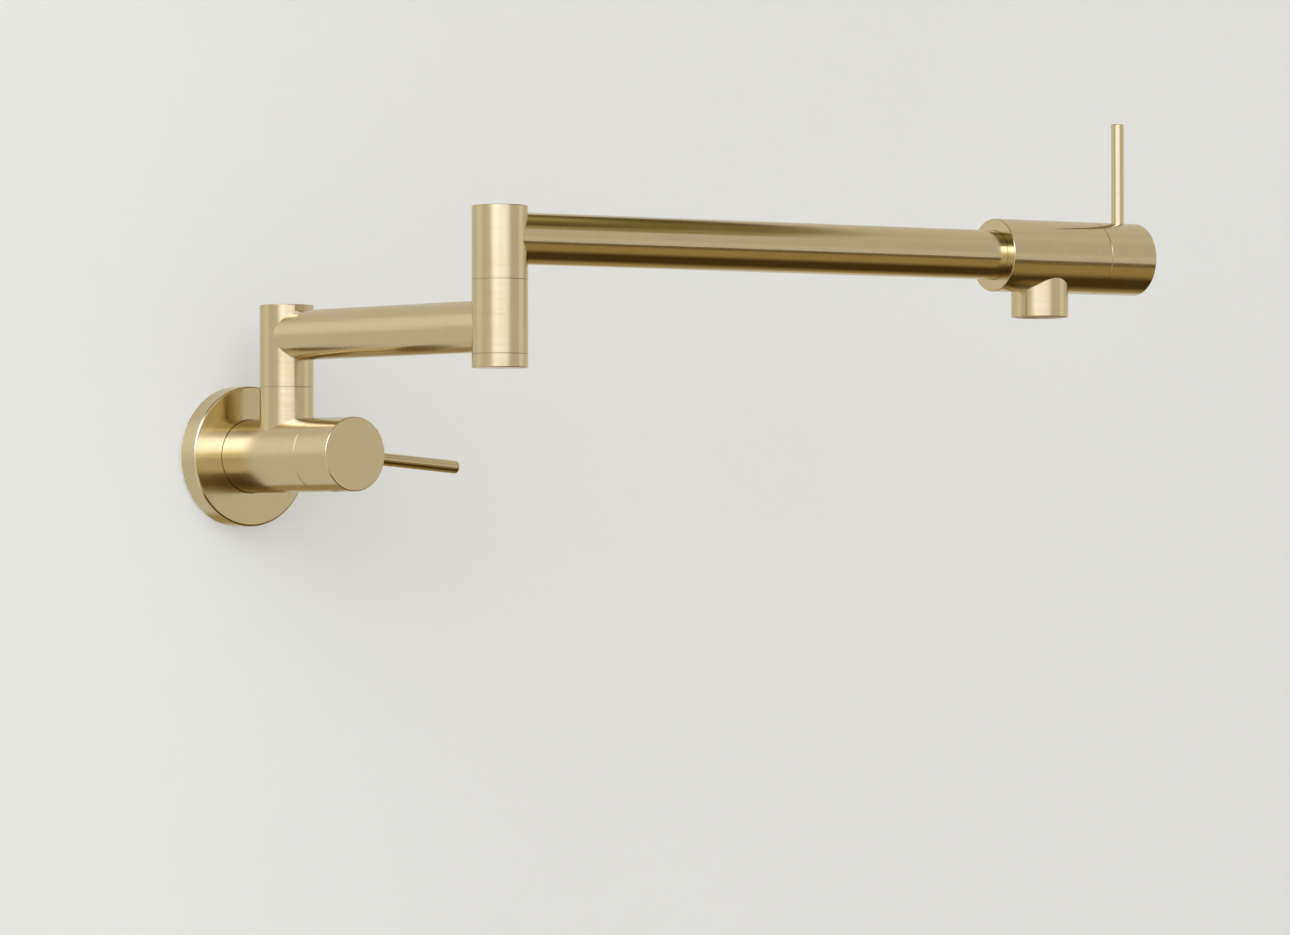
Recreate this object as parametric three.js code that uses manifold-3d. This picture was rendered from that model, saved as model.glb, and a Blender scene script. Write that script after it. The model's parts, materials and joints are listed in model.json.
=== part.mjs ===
// Wall mounted pot filler: a tap on a double jointed arm that folds out from the wall over a hob.
//
// Frame, in millimetres: the wall is the plane Y = 0 and the tap stands out of it towards -Y.
// +X is to the right as one faces the wall, and +Z is up. The origin is on the inlet's axis at the wall.
// Every barrel, arm and cartridge is drawn along its own +Z and then laid into place by nested groups.
import * as THREE from "three";
import { mergeVertices } from "three/addons/utils/BufferGeometryUtils.js";
import Module from "manifold-3d";

const wasm = await Module();
wasm.setup();

// ---------------------------------------------------------------- driving dimensions

const GAP = 0.3; // between two pieces that touch
const SEAM = 0.4; // hairline between a turning piece and the piece that carries it

// Places of the main axes
const RISER_REACH = 41.2; // wall to the riser's axis
const ARM_1_REACH = 163; // riser's axis to the elbow's axis
const ARM_2_REACH = 311.5; // elbow's axis to the spout's axis
const ARM_1_HEIGHT = 57.5; // first arm's axis above the inlet's axis
const ARM_2_HEIGHT = 97.9; // second arm's axis above the inlet's axis
const ARM_2_SWING = 83; // degrees from straight out of the wall, towards +X

// Outside radii
const ESCUTCHEON_RADIUS = 34;
const BARREL_RADIUS = 17.75; // both valve bodies and their handle hubs
const POST_RADIUS = 13; // riser and elbow
const ARM_RADIUS = 12;
const COLLAR_RADIUS = 14;
const LEVER_RADIUS = 3.1;

// Heights on the two posts
const RISER_SEAM = 32.8;
const RISER_TOP = 72.4;
const ELBOW_BOTTOM = 38;
const ELBOW_CAP_SEAM = 44.5;
const ELBOW_SEAM = 78.7;
const ELBOW_TOP = 112.7;
const COLLAR_BOTTOM = 68;
const AERATOR_SEAT = 78.4; // top of the collar's threaded bore

// Distances along the wall valve, from the wall
const ESCUTCHEON_DEPTH = 12.7;
const BODY_REAR = 3.3;
const WALL_SEAM = 70;
const WALL_HUB_END = 95.3;
const WALL_LEVER_AT = 82.7;
const WALL_LEVER_REACH = 71; // lever's tip from the valve's axis
const WALL_LEVER_DROP = 4.4; // degrees below level, as it stands

// Distances along the second arm, from the elbow's axis
const HEAD_REAR = 283;
const HEAD_SEAM = 343;
const HEAD_HUB_END = 370.5;
const SPOUT_LEVER_AT = 360;
const SPOUT_LEVER_REACH = 66.8;

// Waterways
const ARM_BORE = 10; // radius inside the arms and the two posts
const PORT_RADIUS = 9.5; // hole between an arm and a post
const VALVE_BORE = 8; // radius of the plain waterway in the valve bodies

// Wall fixing
const PLATE_THICKNESS = 3;
const PLATE_RADIUS = 30.8;
const PLATE_SCREW_CIRCLE = 25.3;
const PLATE_SCREW_ANGLES = [90, 210, 330];
const LOCK_SCREW_AT = 6.3; // the screw that locks the valve body into the plate's collar
const COVER_RING_AT = 11.65; // the rubber ring that grips the escutcheon
const NIPPLE_RADIUS = 10.45; // half inch pipe thread, over its crests
const NIPPLE_BORE = 6.5;
const NIPPLE_INTO_WALL = 20;
const NIPPLE_INTO_BODY = 17;
const NIPPLE_SOCKET_RADIUS = 10.9;
const NIPPLE_SOCKET_END = 19.3; // from the wall
const GRUB_RADIUS = 1.9; // the small socket screws

// Outlet
const THREAD_BORE = 12.3; // collar's bore for the aerator
const AERATOR_INSERT_RADIUS = 9.8;

// Cartridge, measured from the centre of the valve's side port towards the handle
const SEAT = -11;
const SEAL_TOP = -8.6;
const DISCS_MEET = -5.15;
const DISC_THICKNESS = 3;
const DISC_RADIUS = 9.8;
const CHAMBER_RADIUS = 10.1;
const CARTRIDGE_RADIUS = 11.7;
const CARTRIDGE_SHOULDER = 20;
const CARTRIDGE_NECK_END = 27;
const CARTRIDGE_NECK_RADIUS = 8;
const GLAND_BORE = 14.5;
const STEM_RADIUS = 4.2;
const STEM_RING_AT = 14;
const TANG_LENGTH = 14;
const TANG_WIDTH = 3;
const TANG_FOOT = -3.1;

// Swivels: a hollow spindle that is fixed below, and a sleeve that turns on it
const LAND_RADIUS = 9.7; // the spindle where it fills the sleeve's bore
const LEDGE_ABOVE_ARM = 10.4; // the ledge in the sleeve, above the arm's axis
const LEDGE_BORE = 11.6;
const GLIDE_HEIGHT = 2.6; // room for the glide ring, above the seam

// Numbers of flats round a turned piece
const OUTER_SIDES = 28;
const INNER_SIDES = 14;
const PIN_SIDES = 10;
const RING_SECTION_SIDES = 5;

// ---------------------------------------------------------------- finishes

const FINISHES = {
  satinGold: { color: 0xbca472, roughness: 0.32, metalness: 1 },
  rawBrass: { color: 0xb08d4a, roughness: 0.45, metalness: 1 },
  steel: { color: 0xa8a9ab, roughness: 0.4, metalness: 1 },
  ceramic: { color: 0xf1efe8, roughness: 0.35, metalness: 0 },
  rubber: { color: 0x1c1c1d, roughness: 0.8, metalness: 0 },
  plastic: { color: 0xd9dadb, roughness: 0.5, metalness: 0 },
};

// ---------------------------------------------------------------- shape tools

const asSolid = (geometry) => {
  const bare = geometry.clone();
  bare.deleteAttribute("normal");
  bare.deleteAttribute("uv");
  const merged = mergeVertices(bare, 1e-4);
  return new wasm.Manifold(
    new wasm.Mesh({
      numProp: 3,
      vertProperties: merged.attributes.position.array,
      triVerts: new Uint32Array(merged.index.array),
    }),
  );
};

const asGeometry = (solid) => {
  const { vertProperties, triVerts } = solid.getMesh();
  const geometry = new THREE.BufferGeometry();
  geometry.setAttribute("position", new THREE.BufferAttribute(vertProperties, 3));
  geometry.setIndex(new THREE.BufferAttribute(triVerts, 1));
  return geometry;
};

const cut = (base, ...tools) =>
  asGeometry(tools.reduce((solid, tool) => solid.subtract(asSolid(tool)), asSolid(base)));

const join = (base, ...more) =>
  asGeometry(more.reduce((solid, piece) => solid.add(asSolid(piece)), asSolid(base)));

// A turned piece: a closed outline of [radius, height] points, listed anticlockwise, spun about Z.
function turned(outline, sides) {
  const points = [...outline, outline[0]].map(([radius, height]) => new THREE.Vector2(radius, height));
  return new THREE.LatheGeometry(points, sides).rotateX(Math.PI / 2);
}

const bar = (radius, from, to, sides) =>
  turned([[0, from], [radius, from], [radius, to], [0, to]], sides);

const pipe = (outer, inner, from, to, sides) =>
  turned([[inner, from], [outer, from], [outer, to], [inner, to]], sides);

const block = (width, depth, from, to) =>
  new THREE.BoxGeometry(width, depth, to - from).translate(0, 0, (from + to) / 2);

// Lays a piece that is drawn along +Z towards a side of its own frame: right is +X, front -Y and back +Y.
const SIDES = {
  right: (geometry) => geometry.rotateY(Math.PI / 2),
  front: (geometry) => geometry.rotateX(Math.PI / 2),
  back: (geometry) => geometry.rotateX(-Math.PI / 2),
};

// A bar laid across the piece towards a side, at a height on the piece's axis.
const crossBar = (side, height, radius, from, to, sides) =>
  SIDES[side](bar(radius, from, to, sides)).translate(0, 0, height);

const ring = (radius, thickness, height) =>
  new THREE.TorusGeometry(radius, thickness, RING_SECTION_SIDES, INNER_SIDES).translate(0, 0, height);

// ---------------------------------------------------------------- groups

const potFiller = new THREE.Group();

function group(parent, x, y, z, turn = 0) {
  const made = new THREE.Group();
  made.position.set(x, y, z);
  made.rotation.z = THREE.MathUtils.degToRad(turn);
  parent.add(made);
  return made;
}

// A group whose own +Z points straight out of the wall when its parent isn't turned; its +Y is up.
function outward(parent, height) {
  const made = group(parent, 0, 0, height);
  made.rotation.x = Math.PI / 2;
  return made;
}

function add(parent, name, geometry, finish) {
  const mesh = new THREE.Mesh(geometry, new THREE.MeshStandardMaterial(FINISHES[finish]));
  mesh.name = name;
  parent.add(mesh);
}

// ---------------------------------------------------------------- wall fixing

// A round steel plate with a raised collar that the valve body's rear end sits in.
function mountingPlate() {
  const collarOuter = 20.6;
  const collarInner = BARREL_RADIUS + GAP;
  const collarTop = 9.5;
  const blank = turned(
    [
      [NIPPLE_SOCKET_RADIUS, 0],
      [PLATE_RADIUS, 0],
      [PLATE_RADIUS, PLATE_THICKNESS],
      [collarOuter, PLATE_THICKNESS],
      [collarOuter, collarTop],
      [collarInner, collarTop],
      [collarInner, PLATE_THICKNESS],
      [NIPPLE_SOCKET_RADIUS, PLATE_THICKNESS],
    ],
    OUTER_SIDES,
  );
  const lockHole = crossBar("front", LOCK_SCREW_AT, GRUB_RADIUS + GAP, 15, 25, PIN_SIDES);
  const screwHoles = PLATE_SCREW_ANGLES.map((angle) => placedOnPlate(screwShape(GAP, false), angle));
  return cut(blank, lockHole, ...screwHoles);
}

function placedOnPlate(geometry, angle) {
  const radians = THREE.MathUtils.degToRad(angle);
  return geometry.translate(
    PLATE_SCREW_CIRCLE * Math.cos(radians),
    PLATE_SCREW_CIRCLE * Math.sin(radians),
    0,
  );
}

// A countersunk wood screw, or with some clearance the hole for one.
function screwShape(clearance, pointed) {
  const shank = 2 + clearance;
  const head = 3.6 + clearance;
  const tip = PLATE_THICKNESS - 30;
  const pointEnd = tip + 4;
  const coneFoot = PLATE_THICKNESS - 1.9;
  const headEdge = PLATE_THICKNESS - 0.3;
  const top = PLATE_THICKNESS + (clearance ? 1 : 0);
  return turned(
    [
      [0, tip],
      [pointed ? 0.4 : shank, tip],
      [shank, pointEnd],
      [shank, coneFoot],
      [head, headEdge],
      [head, top],
      [0, top],
    ],
    PIN_SIDES,
  );
}

// The screw itself, with a cross recess in its head.
function wallScrew(angle) {
  const across = 4;
  const width = 0.9;
  const foot = PLATE_THICKNESS - 1.2;
  const over = PLATE_THICKNESS + 1;
  const recess = [block(across, width, foot, over), block(width, across, foot, over)];
  return placedOnPlate(cut(screwShape(0, true), ...recess), angle);
}

// A headless screw with a hexagon socket in its outer end.
function grubScrew(from, to) {
  const socketRadius = 1;
  const socketDepth = 1.5;
  const socket = bar(socketRadius, to - socketDepth, to + 1, 6);
  return cut(bar(GRUB_RADIUS, from, to, PIN_SIDES), socket);
}

// A round cover with a flat face and a cylindrical rim, hollow behind.
function escutcheon() {
  const wall = 2;
  const bevel = 0.8;
  const rear = 1.8;
  const hole = BARREL_RADIUS + GAP;
  return turned(
    [
      [ESCUTCHEON_RADIUS - wall, rear],
      [ESCUTCHEON_RADIUS, rear],
      [ESCUTCHEON_RADIUS, ESCUTCHEON_DEPTH - bevel],
      [ESCUTCHEON_RADIUS - bevel, ESCUTCHEON_DEPTH],
      [hole, ESCUTCHEON_DEPTH],
      [hole, ESCUTCHEON_DEPTH - wall],
      [ESCUTCHEON_RADIUS - wall, ESCUTCHEON_DEPTH - wall],
    ],
    OUTER_SIDES,
  );
}

// Small holes through a disc: one in the middle, and a circle of them for each [count, radius].
function pierced(disc, circles, holeRadius, from, to, sides) {
  const places = [[0, 0]];
  for (const [count, radius] of circles) {
    for (let i = 0; i < count; i += 1) {
      const angle = (2 * Math.PI * i) / count;
      places.push([radius * Math.cos(angle), radius * Math.sin(angle)]);
    }
  }
  return cut(disc, ...places.map(([x, y]) => bar(holeRadius, from - 1, to + 1, sides).translate(x, y, 0)));
}

// The dirt screen at the bottom of the nipple's socket.
function inletScreen() {
  const from = NIPPLE_INTO_BODY + GAP;
  const to = NIPPLE_SOCKET_END - GAP;
  return pierced(bar(NIPPLE_RADIUS, from, to, INNER_SIDES), [[6, 4]], 1.3, from, to, 6);
}

// ---------------------------------------------------------------- valve bodies and cartridges

// A valve body turned from bar. Its bores step from the rear socket to the cartridge and the gland nut.
function valveBarrel({ rear, socketRadius, socketEnd, port, seam, portSide, groove }) {
  const front = seam - SEAM / 2;
  const bevel = 0.5;
  const grooveHalf = 0.95;
  const grooveFloor = BARREL_RADIUS - 1.7;
  const outside = [[BARREL_RADIUS - bevel, rear], [BARREL_RADIUS, rear + bevel]];
  if (groove) {
    outside.push(
      [BARREL_RADIUS, groove - grooveHalf],
      [grooveFloor, groove - grooveHalf],
      [grooveFloor, groove + grooveHalf],
      [BARREL_RADIUS, groove + grooveHalf],
    );
  }
  const blank = turned(
    [
      [socketRadius, rear],
      ...outside,
      [BARREL_RADIUS, front],
      [GLAND_BORE, front],
      [GLAND_BORE, port + CARTRIDGE_SHOULDER],
      [CARTRIDGE_RADIUS + GAP, port + CARTRIDGE_SHOULDER],
      [CARTRIDGE_RADIUS + GAP, port + SEAT],
      [VALVE_BORE, port + SEAT],
      [VALVE_BORE, socketEnd],
      [socketRadius, socketEnd],
    ],
    OUTER_SIDES,
  );
  return cut(blank, crossBar(portSide, port, VALVE_BORE, 0, 25, INNER_SIDES));
}

// The cartridge's shell: a chamber for the discs with four side windows, and a neck for the stem.
function cartridgeHousing() {
  const chamberEnd = 8;
  const stemWay = 4.75;
  const windowWidth = 9;
  const windowFrom = -1.2;
  const windowTo = 6.5;
  const across = 30;
  const blank = turned(
    [
      [CHAMBER_RADIUS, SEAT + GAP],
      [CARTRIDGE_RADIUS, SEAT + GAP],
      [CARTRIDGE_RADIUS, CARTRIDGE_SHOULDER],
      [CARTRIDGE_NECK_RADIUS, CARTRIDGE_SHOULDER],
      [CARTRIDGE_NECK_RADIUS, CARTRIDGE_NECK_END],
      [stemWay, CARTRIDGE_NECK_END],
      [stemWay, chamberEnd],
      [CHAMBER_RADIUS, chamberEnd],
    ],
    INNER_SIDES,
  );
  return cut(
    blank,
    block(windowWidth, across, windowFrom, windowTo),
    block(across, windowWidth, windowFrom, windowTo),
  );
}

// A ceramic disc with the two holes that line up when the valve is open.
function valveDisc(radius, from, to) {
  const holeRadius = 2.8;
  const holeSides = 8;
  const holes = [-5, 5].map((x) => bar(holeRadius, from - 1, to + 1, holeSides).translate(x, 0, 0));
  return cut(bar(radius, from, to, INNER_SIDES), ...holes);
}

function fixedDisc() {
  const top = DISCS_MEET - GAP / 2;
  return valveDisc(DISC_RADIUS, top - DISC_THICKNESS, top);
}

// The disc that turns, with a slot across its top for the stem's tang.
function movingDisc() {
  const radius = DISC_RADIUS - 0.2;
  const foot = DISCS_MEET + GAP / 2;
  const slot = block(TANG_WIDTH + 2 * GAP, 24, TANG_FOOT - GAP, 0);
  return cut(valveDisc(radius, foot, foot + DISC_THICKNESS), slot);
}

// The stem: a tang that turns the upper disc, a groove for its ring and a flat for the grub screw.
function valveStem(end, flatFrom) {
  const grooveRadius = 2.75;
  const grooveFrom = STEM_RING_AT - 1;
  const grooveTo = STEM_RING_AT + 1;
  const flatDepth = 0.6;
  const shaft = turned(
    [
      [0, 0],
      [STEM_RADIUS, 0],
      [STEM_RADIUS, grooveFrom],
      [grooveRadius, grooveFrom],
      [grooveRadius, grooveTo],
      [STEM_RADIUS, grooveTo],
      [STEM_RADIUS, end],
      [0, end],
    ],
    PIN_SIDES,
  );
  const tang = block(TANG_WIDTH, TANG_LENGTH, TANG_FOOT, 1);
  const flat = block(12, 4, flatFrom, end + 1).translate(0, flatDepth - STEM_RADIUS - 2, 0);
  return cut(join(shaft, tang), flat);
}

// The hexagon nut that holds the cartridge down by its shoulder.
function glandNut() {
  const cornerRadius = GLAND_BORE - GAP;
  const bore = CARTRIDGE_NECK_RADIUS + GAP;
  const foot = CARTRIDGE_SHOULDER + GAP;
  const top = foot + 6;
  const hexagon = new THREE.CylinderGeometry(cornerRadius, cornerRadius, top - foot, 6)
    .rotateX(Math.PI / 2)
    .translate(0, 0, (foot + top) / 2);
  return cut(hexagon, bar(bore, foot - 1, top + 1, INNER_SIDES));
}

const LEVER_FOOT = 6.2; // how near the lever's inner end comes to the hub's axis
const GRUB_FOOT = 4;
const GRUB_END = 12;

// The handle's hub: a short barrel with a flat end, bored for the stem, the lever and the grub screw.
function handleHub(seam, end, leverAt) {
  const bevel = 0.7;
  const bore = STEM_RADIUS + GAP;
  const boreEnd = end - 4.5;
  const rear = seam + SEAM / 2;
  const blank = turned(
    [
      [bore, rear],
      [BARREL_RADIUS, rear],
      [BARREL_RADIUS, end - bevel],
      [BARREL_RADIUS - bevel, end],
      [0, end],
      [0, boreEnd],
      [bore, boreEnd],
    ],
    OUTER_SIDES,
  );
  return cut(
    blank,
    crossBar("right", leverAt, LEVER_RADIUS + GAP, LEVER_FOOT - GAP, BARREL_RADIUS + 2, PIN_SIDES),
    crossBar("front", leverAt, GRUB_RADIUS + GAP, GRUB_FOOT - 1, BARREL_RADIUS + 2, PIN_SIDES),
  );
}

// The handle's rod.
function lever(reach) {
  const bevel = 0.4;
  return turned(
    [
      [0, LEVER_FOOT],
      [LEVER_RADIUS, LEVER_FOOT],
      [LEVER_RADIUS, reach - bevel],
      [LEVER_RADIUS - bevel, reach],
      [0, reach],
    ],
    INNER_SIDES,
  );
}

// All that sits in a valve body: the cartridge's fixed pieces and the handle that turns the rest.
function addValve(parent, prefix, { port, seam, hubEnd, leverAt, leverReach, leverTurn }) {
  const cartridge = group(parent, 0, 0, port);
  add(cartridge, prefix + "_cartridge_housing", cartridgeHousing(), "rawBrass");
  const seal = pipe(DISC_RADIUS, NIPPLE_BORE, SEAT + SEAM, SEAL_TOP, INNER_SIDES);
  add(cartridge, prefix + "_seat_seal", seal, "rubber");
  add(cartridge, prefix + "_fixed_disc", fixedDisc(), "ceramic");
  add(cartridge, prefix + "_gland_nut", glandNut(), "rawBrass");

  const turning = group(parent, 0, 0, port, leverTurn);
  const stemEnd = hubEnd - port - 5;
  add(turning, prefix + "_moving_disc", movingDisc(), "ceramic");
  add(turning, prefix + "_stem", valveStem(stemEnd, seam - port + 1), "rawBrass");
  add(turning, prefix + "_stem_o_ring", ring(3.75, 0.7, STEM_RING_AT), "rubber");

  const handle = group(parent, 0, 0, 0, leverTurn);
  add(handle, prefix + "_hub", handleHub(seam, hubEnd, leverAt), "satinGold");
  const along = SIDES.right(lever(leverReach)).translate(0, 0, leverAt);
  add(handle, prefix + "_lever", along, "satinGold");
  const grub = SIDES.front(grubScrew(GRUB_FOOT, GRUB_END)).translate(0, 0, leverAt);
  add(handle, prefix + "_grub_screw", grub, "steel");
}

// ---------------------------------------------------------------- swivels

// The hollow spindle that a sleeve turns on, with two ring grooves and cross holes level with the arm.
function swivelSpindle({ bottom, grooves, arm }) {
  const grooveRadius = 7.5;
  const grooveHalf = 1.15;
  const waist = 7.5;
  const waistFoot = arm - 9.3;
  const bore = 5;
  const crossHole = 3.2;
  const screwHole = 2.4;
  const screwHoleFoot = arm + 4.5;
  const top = arm + LEDGE_ABOVE_ARM - GAP;
  const waistTop = top - 1.5;
  const outside = [[LAND_RADIUS, bottom]];
  for (const groove of grooves) {
    outside.push(
      [LAND_RADIUS, groove - grooveHalf],
      [grooveRadius, groove - grooveHalf],
      [grooveRadius, groove + grooveHalf],
      [LAND_RADIUS, groove + grooveHalf],
    );
  }
  const blank = turned(
    [
      [bore, bottom],
      ...outside,
      [LAND_RADIUS, waistFoot],
      [waist, waistFoot],
      [waist, waistTop],
      [LAND_RADIUS, waistTop],
      [LAND_RADIUS, top],
      [screwHole, top],
      [screwHole, screwHoleFoot],
      [bore, screwHoleFoot],
    ],
    INNER_SIDES,
  );
  return cut(
    blank,
    crossBar("front", arm, crossHole, -POST_RADIUS, POST_RADIUS, PIN_SIDES),
    crossBar("right", arm, crossHole, -POST_RADIUS, POST_RADIUS, PIN_SIDES),
  );
}

// The sleeve that turns on the spindle and carries an arm towards the front.
function swivelSleeve({ seam, arm, top }) {
  const bevel = 0.5;
  const ledge = arm + LEDGE_ABOVE_ARM;
  const glideTop = seam + GLIDE_HEIGHT;
  const rear = seam + SEAM / 2;
  const blank = turned(
    [
      [LEDGE_BORE, rear],
      [POST_RADIUS, rear],
      [POST_RADIUS, top - bevel],
      [POST_RADIUS - bevel, top],
      [LEDGE_BORE, top],
      [LEDGE_BORE, ledge],
      [ARM_BORE, ledge],
      [ARM_BORE, glideTop],
      [LEDGE_BORE, glideTop],
    ],
    OUTER_SIDES,
  );
  return cut(blank, crossBar("front", arm, PORT_RADIUS, 0, POST_RADIUS + 2, INNER_SIDES));
}

// The screw in the spindle's top, whose wide head keeps the sleeve down by its ledge.
function retainingScrew(arm) {
  const headFoot = arm + LEDGE_ABOVE_ARM + GAP;
  const headTop = headFoot + 1.7;
  const shank = 2.1;
  const shankFoot = arm + 5;
  const socketRadius = 2.2;
  const socketFoot = headTop - 1.2;
  const blank = turned(
    [
      [0, shankFoot],
      [shank, shankFoot],
      [shank, headFoot],
      [LEDGE_BORE - GAP, headFoot],
      [LEDGE_BORE - GAP, headTop],
      [0, headTop],
    ],
    INNER_SIDES,
  );
  return cut(blank, bar(socketRadius, socketFoot, headTop + 1, 6));
}

// What stays with the post below the seam: spindle, its two rings, glide ring and retaining screw.
function addSwivelCore(parent, prefix, { bottom, grooves, arm, seam }) {
  add(parent, prefix + "_spindle", swivelSpindle({ bottom, grooves, arm }), "rawBrass");
  grooves.forEach((groove, i) => {
    add(parent, prefix + "_o_ring_" + (i + 1), ring(8.75, 0.9, groove), "rubber");
  });
  const glideFoot = seam - SEAM / 2 + GAP;
  const glideTop = seam + GLIDE_HEIGHT - GAP;
  const glide = pipe(LEDGE_BORE - GAP, ARM_BORE, glideFoot, glideTop, INNER_SIDES);
  add(parent, prefix + "_glide_ring", glide, "plastic");
  add(parent, prefix + "_retaining_screw", retainingScrew(arm), "steel");
}

// The flat disc that closes the sleeve's top.
function swivelCap(top) {
  const thickness = 1.9;
  return bar(LEDGE_BORE - GAP, top - thickness, top, OUTER_SIDES);
}

// ---------------------------------------------------------------- posts, arms and spout

// The fixed lower part of the riser, shaped to sit on the valve body.
function riserStub(spindleFoot) {
  const foot = 5; // inside the valve body, and cut away there
  const top = RISER_SEAM - SEAM / 2;
  const blank = turned(
    [
      [VALVE_BORE, foot],
      [POST_RADIUS, foot],
      [POST_RADIUS, top],
      [ARM_BORE, top],
      [ARM_BORE, spindleFoot - GAP],
      [VALVE_BORE, spindleFoot - GAP],
    ],
    OUTER_SIDES,
  );
  return cut(blank, crossBar("front", 0, BARREL_RADIUS + GAP, -30, 30, OUTER_SIDES));
}

// An arm's tube, with a hollow end that hugs each post.
function armTube(length, squareEnd) {
  const saddle = POST_RADIUS + GAP;
  const tools = [crossBar("front", 0, saddle, -20, 20, OUTER_SIDES)];
  if (!squareEnd) tools.push(crossBar("front", length, saddle, -20, 20, OUTER_SIDES));
  return cut(pipe(ARM_RADIUS, ARM_BORE, 0, length, OUTER_SIDES), ...tools);
}

function elbowLowerBarrel() {
  const foot = ELBOW_CAP_SEAM + GAP / 2;
  const top = ELBOW_SEAM - SEAM / 2;
  const blank = pipe(POST_RADIUS, ARM_BORE, foot, top, OUTER_SIDES);
  return cut(blank, crossBar("back", ARM_1_HEIGHT, PORT_RADIUS, 0, POST_RADIUS + 2, INNER_SIDES));
}

// The cap screwed into the elbow's foot, with a plug that has a groove for its ring.
function elbowBottomCap() {
  const bevel = 0.6;
  const face = ELBOW_CAP_SEAM - GAP / 2;
  const grooveFloor = 7.8;
  const grooveFoot = face + 0.7;
  const grooveTop = face + 2.6;
  const plugTop = face + 3.3;
  return turned(
    [
      [0, ELBOW_BOTTOM],
      [POST_RADIUS - bevel, ELBOW_BOTTOM],
      [POST_RADIUS, ELBOW_BOTTOM + bevel],
      [POST_RADIUS, face],
      [LAND_RADIUS, face],
      [LAND_RADIUS, grooveFoot],
      [grooveFloor, grooveFoot],
      [grooveFloor, grooveTop],
      [LAND_RADIUS, grooveTop],
      [LAND_RADIUS, plugTop],
      [0, plugTop],
    ],
    OUTER_SIDES,
  );
}

// The upright collar under the head, shaped to its round and bored for the aerator.
function spoutCollar() {
  const round = 0.6;
  const blank = turned(
    [
      [THREAD_BORE, COLLAR_BOTTOM],
      [COLLAR_RADIUS - round, COLLAR_BOTTOM],
      [COLLAR_RADIUS, COLLAR_BOTTOM + round],
      [COLLAR_RADIUS, ARM_2_HEIGHT],
      [VALVE_BORE, ARM_2_HEIGHT],
      [VALVE_BORE, AERATOR_SEAT],
      [THREAD_BORE, AERATOR_SEAT],
    ],
    OUTER_SIDES,
  );
  return cut(blank, crossBar("front", ARM_2_HEIGHT, BARREL_RADIUS + GAP, -30, 30, OUTER_SIDES));
}

// The aerator's threaded shell, with a lip below that holds its insert.
function aeratorHousing() {
  const outer = 12;
  const inner = AERATOR_INSERT_RADIUS + 0.5;
  const mouth = 9.2;
  const foot = COLLAR_BOTTOM + 0.4;
  const lipTop = foot + 1.2;
  const top = AERATOR_SEAT - 2.1;
  return turned(
    [
      [mouth, foot],
      [outer, foot],
      [outer, top],
      [inner, top],
      [inner, lipTop],
      [mouth, lipTop],
    ],
    INNER_SIDES,
  );
}

// The aerator's insert: a disc with a middle hole and two circles of holes.
function aeratorInsert() {
  const from = COLLAR_BOTTOM + 1.9;
  const to = AERATOR_SEAT - 2.4;
  const circles = [[6, 3.3], [12, 6.6]];
  const holeRadius = 0.9;
  const holeSides = 5;
  const disc = bar(AERATOR_INSERT_RADIUS, from, to, INNER_SIDES);
  return pierced(disc, circles, holeRadius, from, to, holeSides);
}

// ---------------------------------------------------------------- assembly

// Fixed to the wall
const wallAxis = outward(potFiller, 0);
add(wallAxis, "mounting_plate", mountingPlate(), "steel");
PLATE_SCREW_ANGLES.forEach((angle, i) => {
  add(wallAxis, "wall_screw_" + (i + 1), wallScrew(angle), "steel");
});
const lockScrewEnd = 23;
const lockScrew = SIDES.front(grubScrew(BARREL_RADIUS + GAP, lockScrewEnd)).translate(0, 0, LOCK_SCREW_AT);
add(wallAxis, "body_lock_screw", lockScrew, "steel");
const gasketOuter = 33.6;
const gasketInner = 31.2;
const gasketThickness = 1.5;
const wallGasket = pipe(gasketOuter, gasketInner, 0, gasketThickness, OUTER_SIDES);
add(wallAxis, "wall_gasket", wallGasket, "rubber");
add(wallAxis, "escutcheon", escutcheon(), "satinGold");
add(wallAxis, "escutcheon_o_ring", ring(17.05, 0.65, COVER_RING_AT), "rubber");
const nipple = pipe(NIPPLE_RADIUS, NIPPLE_BORE, -NIPPLE_INTO_WALL, NIPPLE_INTO_BODY, INNER_SIDES);
add(wallAxis, "inlet_nipple", nipple, "rawBrass");
add(wallAxis, "inlet_screen", inletScreen(), "steel");
const wallBarrel = valveBarrel({
  rear: BODY_REAR,
  socketRadius: NIPPLE_SOCKET_RADIUS,
  socketEnd: NIPPLE_SOCKET_END,
  port: RISER_REACH,
  seam: WALL_SEAM,
  portSide: "back",
  groove: COVER_RING_AT,
});
add(wallAxis, "valve_body", wallBarrel, "satinGold");
addValve(wallAxis, "wall", {
  port: RISER_REACH,
  seam: WALL_SEAM,
  hubEnd: WALL_HUB_END,
  leverAt: WALL_LEVER_AT,
  leverReach: WALL_LEVER_REACH,
  leverTurn: -WALL_LEVER_DROP,
});

// The riser: a fixed stub and spindle below, and the sleeve that carries the first arm
const riser = group(potFiller, 0, -RISER_REACH, 0);
const riserFoot = 22.3;
add(riser, "riser_stub", riserStub(riserFoot), "satinGold");
addSwivelCore(riser, "riser", {
  bottom: riserFoot,
  grooves: [39.2, 44.2],
  arm: ARM_1_HEIGHT,
  seam: RISER_SEAM,
});
const riserSleeve = swivelSleeve({ seam: RISER_SEAM, arm: ARM_1_HEIGHT, top: RISER_TOP });
add(riser, "riser_sleeve", riserSleeve, "satinGold");
add(riser, "riser_cap", swivelCap(RISER_TOP), "satinGold");
add(outward(riser, ARM_1_HEIGHT), "arm_1_tube", armTube(ARM_1_REACH, false), "satinGold");

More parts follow.
